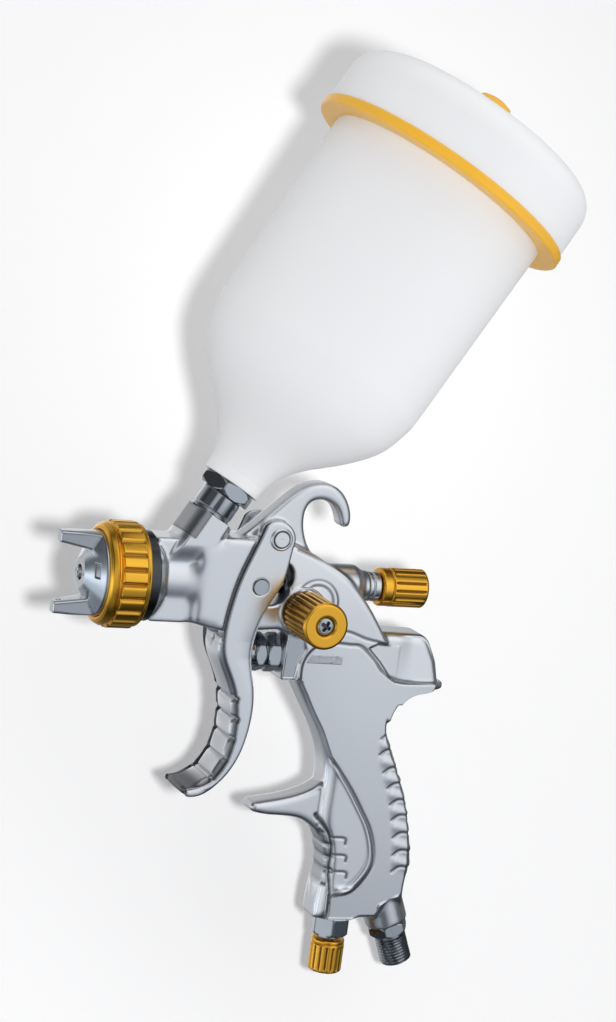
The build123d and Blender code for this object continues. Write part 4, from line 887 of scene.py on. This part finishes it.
def brightParts():
    across, cone, pipe = plated["across"], plated["cone"], plated["pipe"]
    low, high, r = reach("fan_knob_screw", fanAxis)
    spun("fanScrew", "fan_knob", "chrome", "chrome", fanAxis,
         [(low, r - 0.1), (high - 0.6, r - 0.1), (high, r - 0.7), (high, 0.01)], ["fan_knob_screw"],
         crossScrew, 96, 0.3, 0.12, 0)
    low, high, r = reach("fluid_control_bush", needleAxis)
    spun("fluidBush", "gun", "chrome", "satinSteel", needleAxis,
         [(low, 3.5), (low, r), (low + 1.4, r), (low + 1.7, r - 0.35), (low + 2.1, r - 0.35), (low + 2.4, r),
          (high - 0.5, r), (high, r - 0.5), (high, 3.5), (high - 1, 3.5)],
         ["fluid_control_bush"], None, 96, 0.2)
    low, high, _ = reach("cup_fitting", cupAxis)
    seat = reach("cup_nut", cupAxis)[0]
    foot = seat - 8.9
    spun("cupFitting", "gun", "chrome", "chrome", cupAxis,
         [(low, 4.4), (foot, 4.4), (foot, 8.2), (foot + 0.9, 8.2), (foot + 1.2, 7.8), (foot + 1.6, 7.8),
          (foot + 1.9, 8.2), (seat - 0.4, 8.2), (seat, 7.8), (seat, 7.0), (high, 7.0), (high, 3.6),
          (low, 3.6), (low, 4.4)], ["cup_fitting"], None, 96, 0.25)
    low, high, _ = reach("cup_nut", cupAxis)
    spun("cupNut", "gun", "chrome", "chrome", cupAxis,
         [(low, 7.2), (low, 10.2), (low + 0.7, 10.2), (high - 0.7, 10.2), (high, 10.2), (high, 7.2),
          (low, 7.2)],
         ["cup_nut"], flats(across["nut"], low, high, cone["nut"]), 144, 0.15, 0.4, 28)
    low, high, _ = reach("air_valve_gland", valveAxis)
    front, rear = across["gland"]
    spun("valveGland", "gun", "chrome", "chrome", valveAxis,
         [(low + 3, 2.1), (low, 2.1), (low, 5.2), (low + 0.6, 5.6), (low + 2.4, 5.6), (low + 2.4, 7.0),
          (low + 6.4, 7.0), (low + 6.4, 5.4), (low + 7.6, 5.4), (low + 7.6, 7.1), (low + 13.0, 7.1),
          (low + 13.0, 5.6), (high, 5.6), (high, 2.1)], ["air_valve_gland"],
         both(flats(front, low + 2.4, low + 6.4, cone["rest"]),
              flats(rear, low + 7.6, low + 13.0, cone["rest"])), 144, 0.15, 0.4, 28)
    low, high, _ = reach("air_regulator_bush", regulatorAxis)
    face = high - 9.4
    spun("regulatorBush", "gun", "chrome", "chrome", regulatorAxis,
         [(low, 2.1), (low, 4.4), (face, 4.4), (face, 7.0), (face + 8.2, 7.0), (face + 8.2, 5.2), (high, 5.2),
          (high, 2.1)], ["air_regulator_bush"],
         flats(across["regulator"], face, face + 8.2, cone["rest"]), 144, 0.15, 0.5, 28)
    low, high, _ = reach("air_inlet_nipple", inletAxis)
    face = high - 18.2
    spun("inletNipple", "gun", "chrome", "chrome", inletAxis,
         [(low, 4.2), (low, 6.0), (face, 6.0), (face, 7.3), (face + 4.8, 7.3), (face + 4.8, 5.9),
          (face + 6.0, 5.9), (face + 6.3, pipe["r"]), (high - 0.5, pipe["r"]), (high, 5.9), (high, 4.6),
          (high - 0.4, 4.2), (low, 4.2)], ["air_inlet_nipple"],
         both(flats(across["inlet"], face, face + 4.8, cone["rest"]),
              thread(pipe["pitch"], pipe["deep"], face + 5.8, high)),
         144, 0.1, 0.11, 32)


# a thin ring of painted shade at one radius, in the groove under a pin's head
def paintedShadeRing(at):
    def shape(along, angle, radius):
        return along, radius, np.exp(-((radius - at) / 0.22) ** 2) * 0.85
    return shape


def pins():
    _, high, r = reach("trigger_pivot_pin", pivotAxis)
    plate = high - 0.9
    half = [(0, 2.9), (plate - 0.1, 2.9), (plate - 0.1, r), (plate + 0.35, r), (plate + 0.75, r - 0.5),
            (plate + 0.75, r - 0.9), (plate + 0.3, r - 1.3), (plate + 0.3, r - 1.45), (high, r - 1.65),
            (high, 0.6), (high - 0.05, 0.01)]
    for name, side in (("pivotPinNear", 1), ("pivotPinFar", -1)):
        spun(name, "gun", "chrome", "castSilver", pivotAxis, [(a * side, b) for a, b in half],
             ["trigger_pivot_pin"], paintedShadeRing(r - 1.4), 96, 0.15, 0.15, 0)


goldKnobs()
capRing()
brightParts()
pins()

# sheet that the gun lies against, square to the view
view = {"azimuth": -23.69, "elevation": 9.21, "roll": 7.49, "distance": 1.03891, "lens": 92.72,
        "look": (0.092, 0.0, 0.029)}
sheet = {"behind": 0.085, "half": 0.9, "tone": rgb(0.95, 0.95, 0.95), "lift": 0.10, "tilt": 0.07,
         "lean": 0.30}
turnA = math.radians(view["azimuth"])
turnE = math.radians(view["elevation"])
back = Vector((math.sin(turnA) * math.cos(turnE), -math.cos(turnA) * math.cos(turnE), math.sin(turnE)))
level = Vector((math.cos(turnA), math.sin(turnA), 0.0))
rise = back.cross(level)
roll = math.radians(view["roll"])
right = level * math.cos(roll) + rise * math.sin(roll)
up = rise * math.cos(roll) - level * math.sin(roll)
facing = Matrix((right, up, back)).transposed()
look = Vector(view["look"])


def stageSheet():
    mesh = bpy.data.meshes.new("paleSheet")
    middle = look - back * sheet["behind"]
    rising = up - back * sheet["tilt"]
    leaning = right - back * sheet["lean"]
    corners = [middle + leaning * (a * sheet["half"]) + rising * (b * sheet["half"])
               for a, b in ((-1, -1), (1, -1), (1, 1), (-1, 1))]
    mesh.from_pydata(corners, [], [(0, 1, 2, 3)])
    plane = bpy.data.objects.new("paleSheet", mesh)
    bpy.context.scene.collection.objects.link(plane)
    tree = Tree("paleSheet")
    path = tree.node("ShaderNodeLightPath")
    unseen = tree.math("MAXIMUM", tree.node("ShaderNodeNewGeometry")["Backfacing"], path["Is Glossy Ray"])
    grain = tree.noise(tree.place(1000.0), 0.8, 2.0)
    matte = tree.node("ShaderNodeBsdfDiffuse", {}, {"Color": sheet["tone"],
                                                    "Normal": tree.bump(grain, 0.00001)})[0]
    glow = tree.node("ShaderNodeEmission", {}, {"Color": rgb(1, 1, 1), "Strength": sheet["lift"]})[0]
    dark = tree.node("ShaderNodeEmission", {}, {"Color": rgb(0, 0, 0), "Strength": 0.0})[0]
    lift = tree.node("ShaderNodeMixShader", {}, {0: path["Is Camera Ray"], 1: dark, 2: glow})[0]
    solid = tree.node("ShaderNodeAddShader", {}, {0: matte, 1: lift})[0]
    clear = tree.node("ShaderNodeBsdfTransparent")[0]
    seen = tree.node("ShaderNodeMixShader", {}, {0: unseen, 1: solid, 2: clear})[0]
    tree.node("ShaderNodeOutputMaterial", {}, {"Surface": seen})
    mesh.materials.append(tree.mat)


stageSheet()

camera = bpy.data.cameras.new("viewCamera")
camera.lens = view["lens"]
camera.clip_start, camera.clip_end = 0.05, 20
cameraObject = bpy.data.objects.new("viewCamera", camera)
bpy.context.scene.collection.objects.link(cameraObject)
cameraObject.matrix_world = Matrix.Translation(look + back * view["distance"]) @ facing.to_4x4()
bpy.context.scene.camera = cameraObject

# one soft key beside the viewer, a little right and low
key = {"power": 24.0, "radius": 0.042, "right": 0.1305, "up": -0.042}
lamp = bpy.data.lights.new("keyLamp", "POINT")
lamp.energy = key["power"]
lamp.shadow_soft_size = key["radius"]
lampObject = bpy.data.objects.new("keyLamp", lamp)
bpy.context.scene.collection.objects.link(lampObject)
lampObject.visible_glossy = False    # the metal mirrors the studio alone
lampObject.location = look + back * view["distance"] + right * key["right"] + up * key["up"]


# a smooth step from 0 at low to 1 at high
def stepBetween(tree, value, low, high):
    return tree.node("ShaderNodeMapRange", {"interpolation_type": "SMOOTHSTEP"},
                     {"Value": value, "From Min": low, "From Max": high})[0]


# screens and the window: where they stand toward the viewer, right and up, where each starts and is full,
# how dark or bright; rear: how far right, low and high of the sheet dim what lies behind the gun
studio = {
    "screens": (((0.60, -0.62, 0.50), 0.80, 0.93, 0.88), ((0.97, 0.20, -0.10), 0.95, 0.985, 0.80),
                ((-0.64, -0.75, 0.18), 0.93, 0.99, 0.50), ((0.72, 0.04, -0.69), 0.93, 0.98, 0.70)),
    "window": ((0.05, -0.99, -0.15), 0.95, 0.985, 4.6),
    "wall": ((0.0, (0.92, 0.93, 0.95)), (0.34, (0.86, 0.88, 0.90)), (0.45, (0.20, 0.22, 0.24)),
             (0.52, (0.06, 0.07, 0.08)), (0.58, (0.16, 0.18, 0.20)), (0.68, (0.62, 0.64, 0.67)),
             (0.80, (0.96, 0.98, 1.00)), (0.90, (0.80, 0.82, 0.85)), (0.955, (0.52, 0.54, 0.57)),
             (1.0, (0.60, 0.62, 0.65))),
    "height": ((0.0, (0.20, 0.22, 0.25)), (0.20, (0.36, 0.39, 0.43)), (0.28, (0.70, 0.73, 0.77)),
               (0.36, (0.95, 0.97, 1.00)), (0.48, (1.08, 1.08, 1.09)), (0.66, (1.15, 1.15, 1.15)),
               (0.80, (1.0, 1.0, 1.0)), (1.0, (0.80, 0.80, 0.80))),
    "ambient": ((0.45, (1.75, 1.75, 1.75)), (0.66, (0.92, 0.92, 0.92)), (0.85, (0.26, 0.26, 0.27)),
                (1.0, (0.20, 0.20, 0.21))),
    "tall": ((0.0, (0.72, 0.73, 0.75)), (1.0, (1.08, 1.08, 1.08))),
    "rear": {"behind": (0.05, -0.25), "right": (-0.15, 0.35, 0.85), "low": (0.05, -0.30, 0.6),
             "high": (0.30, 0.62, 0.5)},
}


# the studio as the gun sees it: pale walls, a dark gap between the front and the white sheet behind
def studioWorld():
    world = bpy.data.worlds.new("studio")
    bpy.context.scene.world = world
    world.use_nodes = True
    sky = Tree("studio", world)
    path = sky.node("ShaderNodeLightPath")
    where = sky.node("ShaderNodeTexCoord")["Generated"]

    def share(direction):
        return sky.node("ShaderNodeVectorMath", {"operation": "DOT_PRODUCT"},
                        {0: where, 1: direction})["Value"]

    def toneAt(place, start, full):
        middle = (back * place[0] + right * place[1] + up * place[2]).normalized()
        return stepBetween(sky, share(middle), start, full)

    def product(first, second):
        return sky.node("ShaderNodeMix", {"data_type": "RGBA", "blend_type": "MULTIPLY"},
                        {0: 1.0, 6: first, 7: second})[2]

    toward, over, aside = share(back), share(up), share(right)
    wall = sky.ramp(toward * 0.5 + 0.5, *studio["wall"])
    height = sky.ramp(over * 0.5 + 0.5, *studio["height"])
    # behind the gun the left is the bright sheet, the right and the low side are dark
    rear = studio["rear"]
    rearShare = stepBetween(sky, toward, *rear["behind"])
    kept = 1.0
    for value, side in ((aside, "right"), (over, "low"), (over, "high")):
        start, full, dark = rear[side]
        kept = kept * (1 - stepBetween(sky, value, start, full) * dark)
    shade = 1 - rearShare * (1 - kept)
    for place, start, full, dark in studio["screens"]:
        shade = shade * (1 - dark * toneAt(place, start, full))
    place, start, full, bright = studio["window"]
    shade = shade + bright * toneAt(place, start, full)
    mirrored = sky.node("ShaderNodeVectorMath", {"operation": "SCALE"},
                        {0: product(wall, height), 3: shade})[0]
    ambient = sky.ramp(toward * 0.5 + 0.5, *studio["ambient"])
    tall = sky.ramp(over * 0.5 + 0.5, *studio["tall"])
    lit = sky.mix(path["Is Glossy Ray"], product(ambient, tall), mirrored)
    seen = sky.mix(path["Is Camera Ray"], lit, rgb(1.0, 1.0, 1.0))
    ground = sky.node("ShaderNodeBackground", {}, {"Color": seen, "Strength": 1.0})
    sky.node("ShaderNodeOutputWorld", {}, {"Surface": ground[0]})


studioWorld()

bpy.context.scene.view_settings.view_transform = "Standard"
print("stage, camera and lamps set")
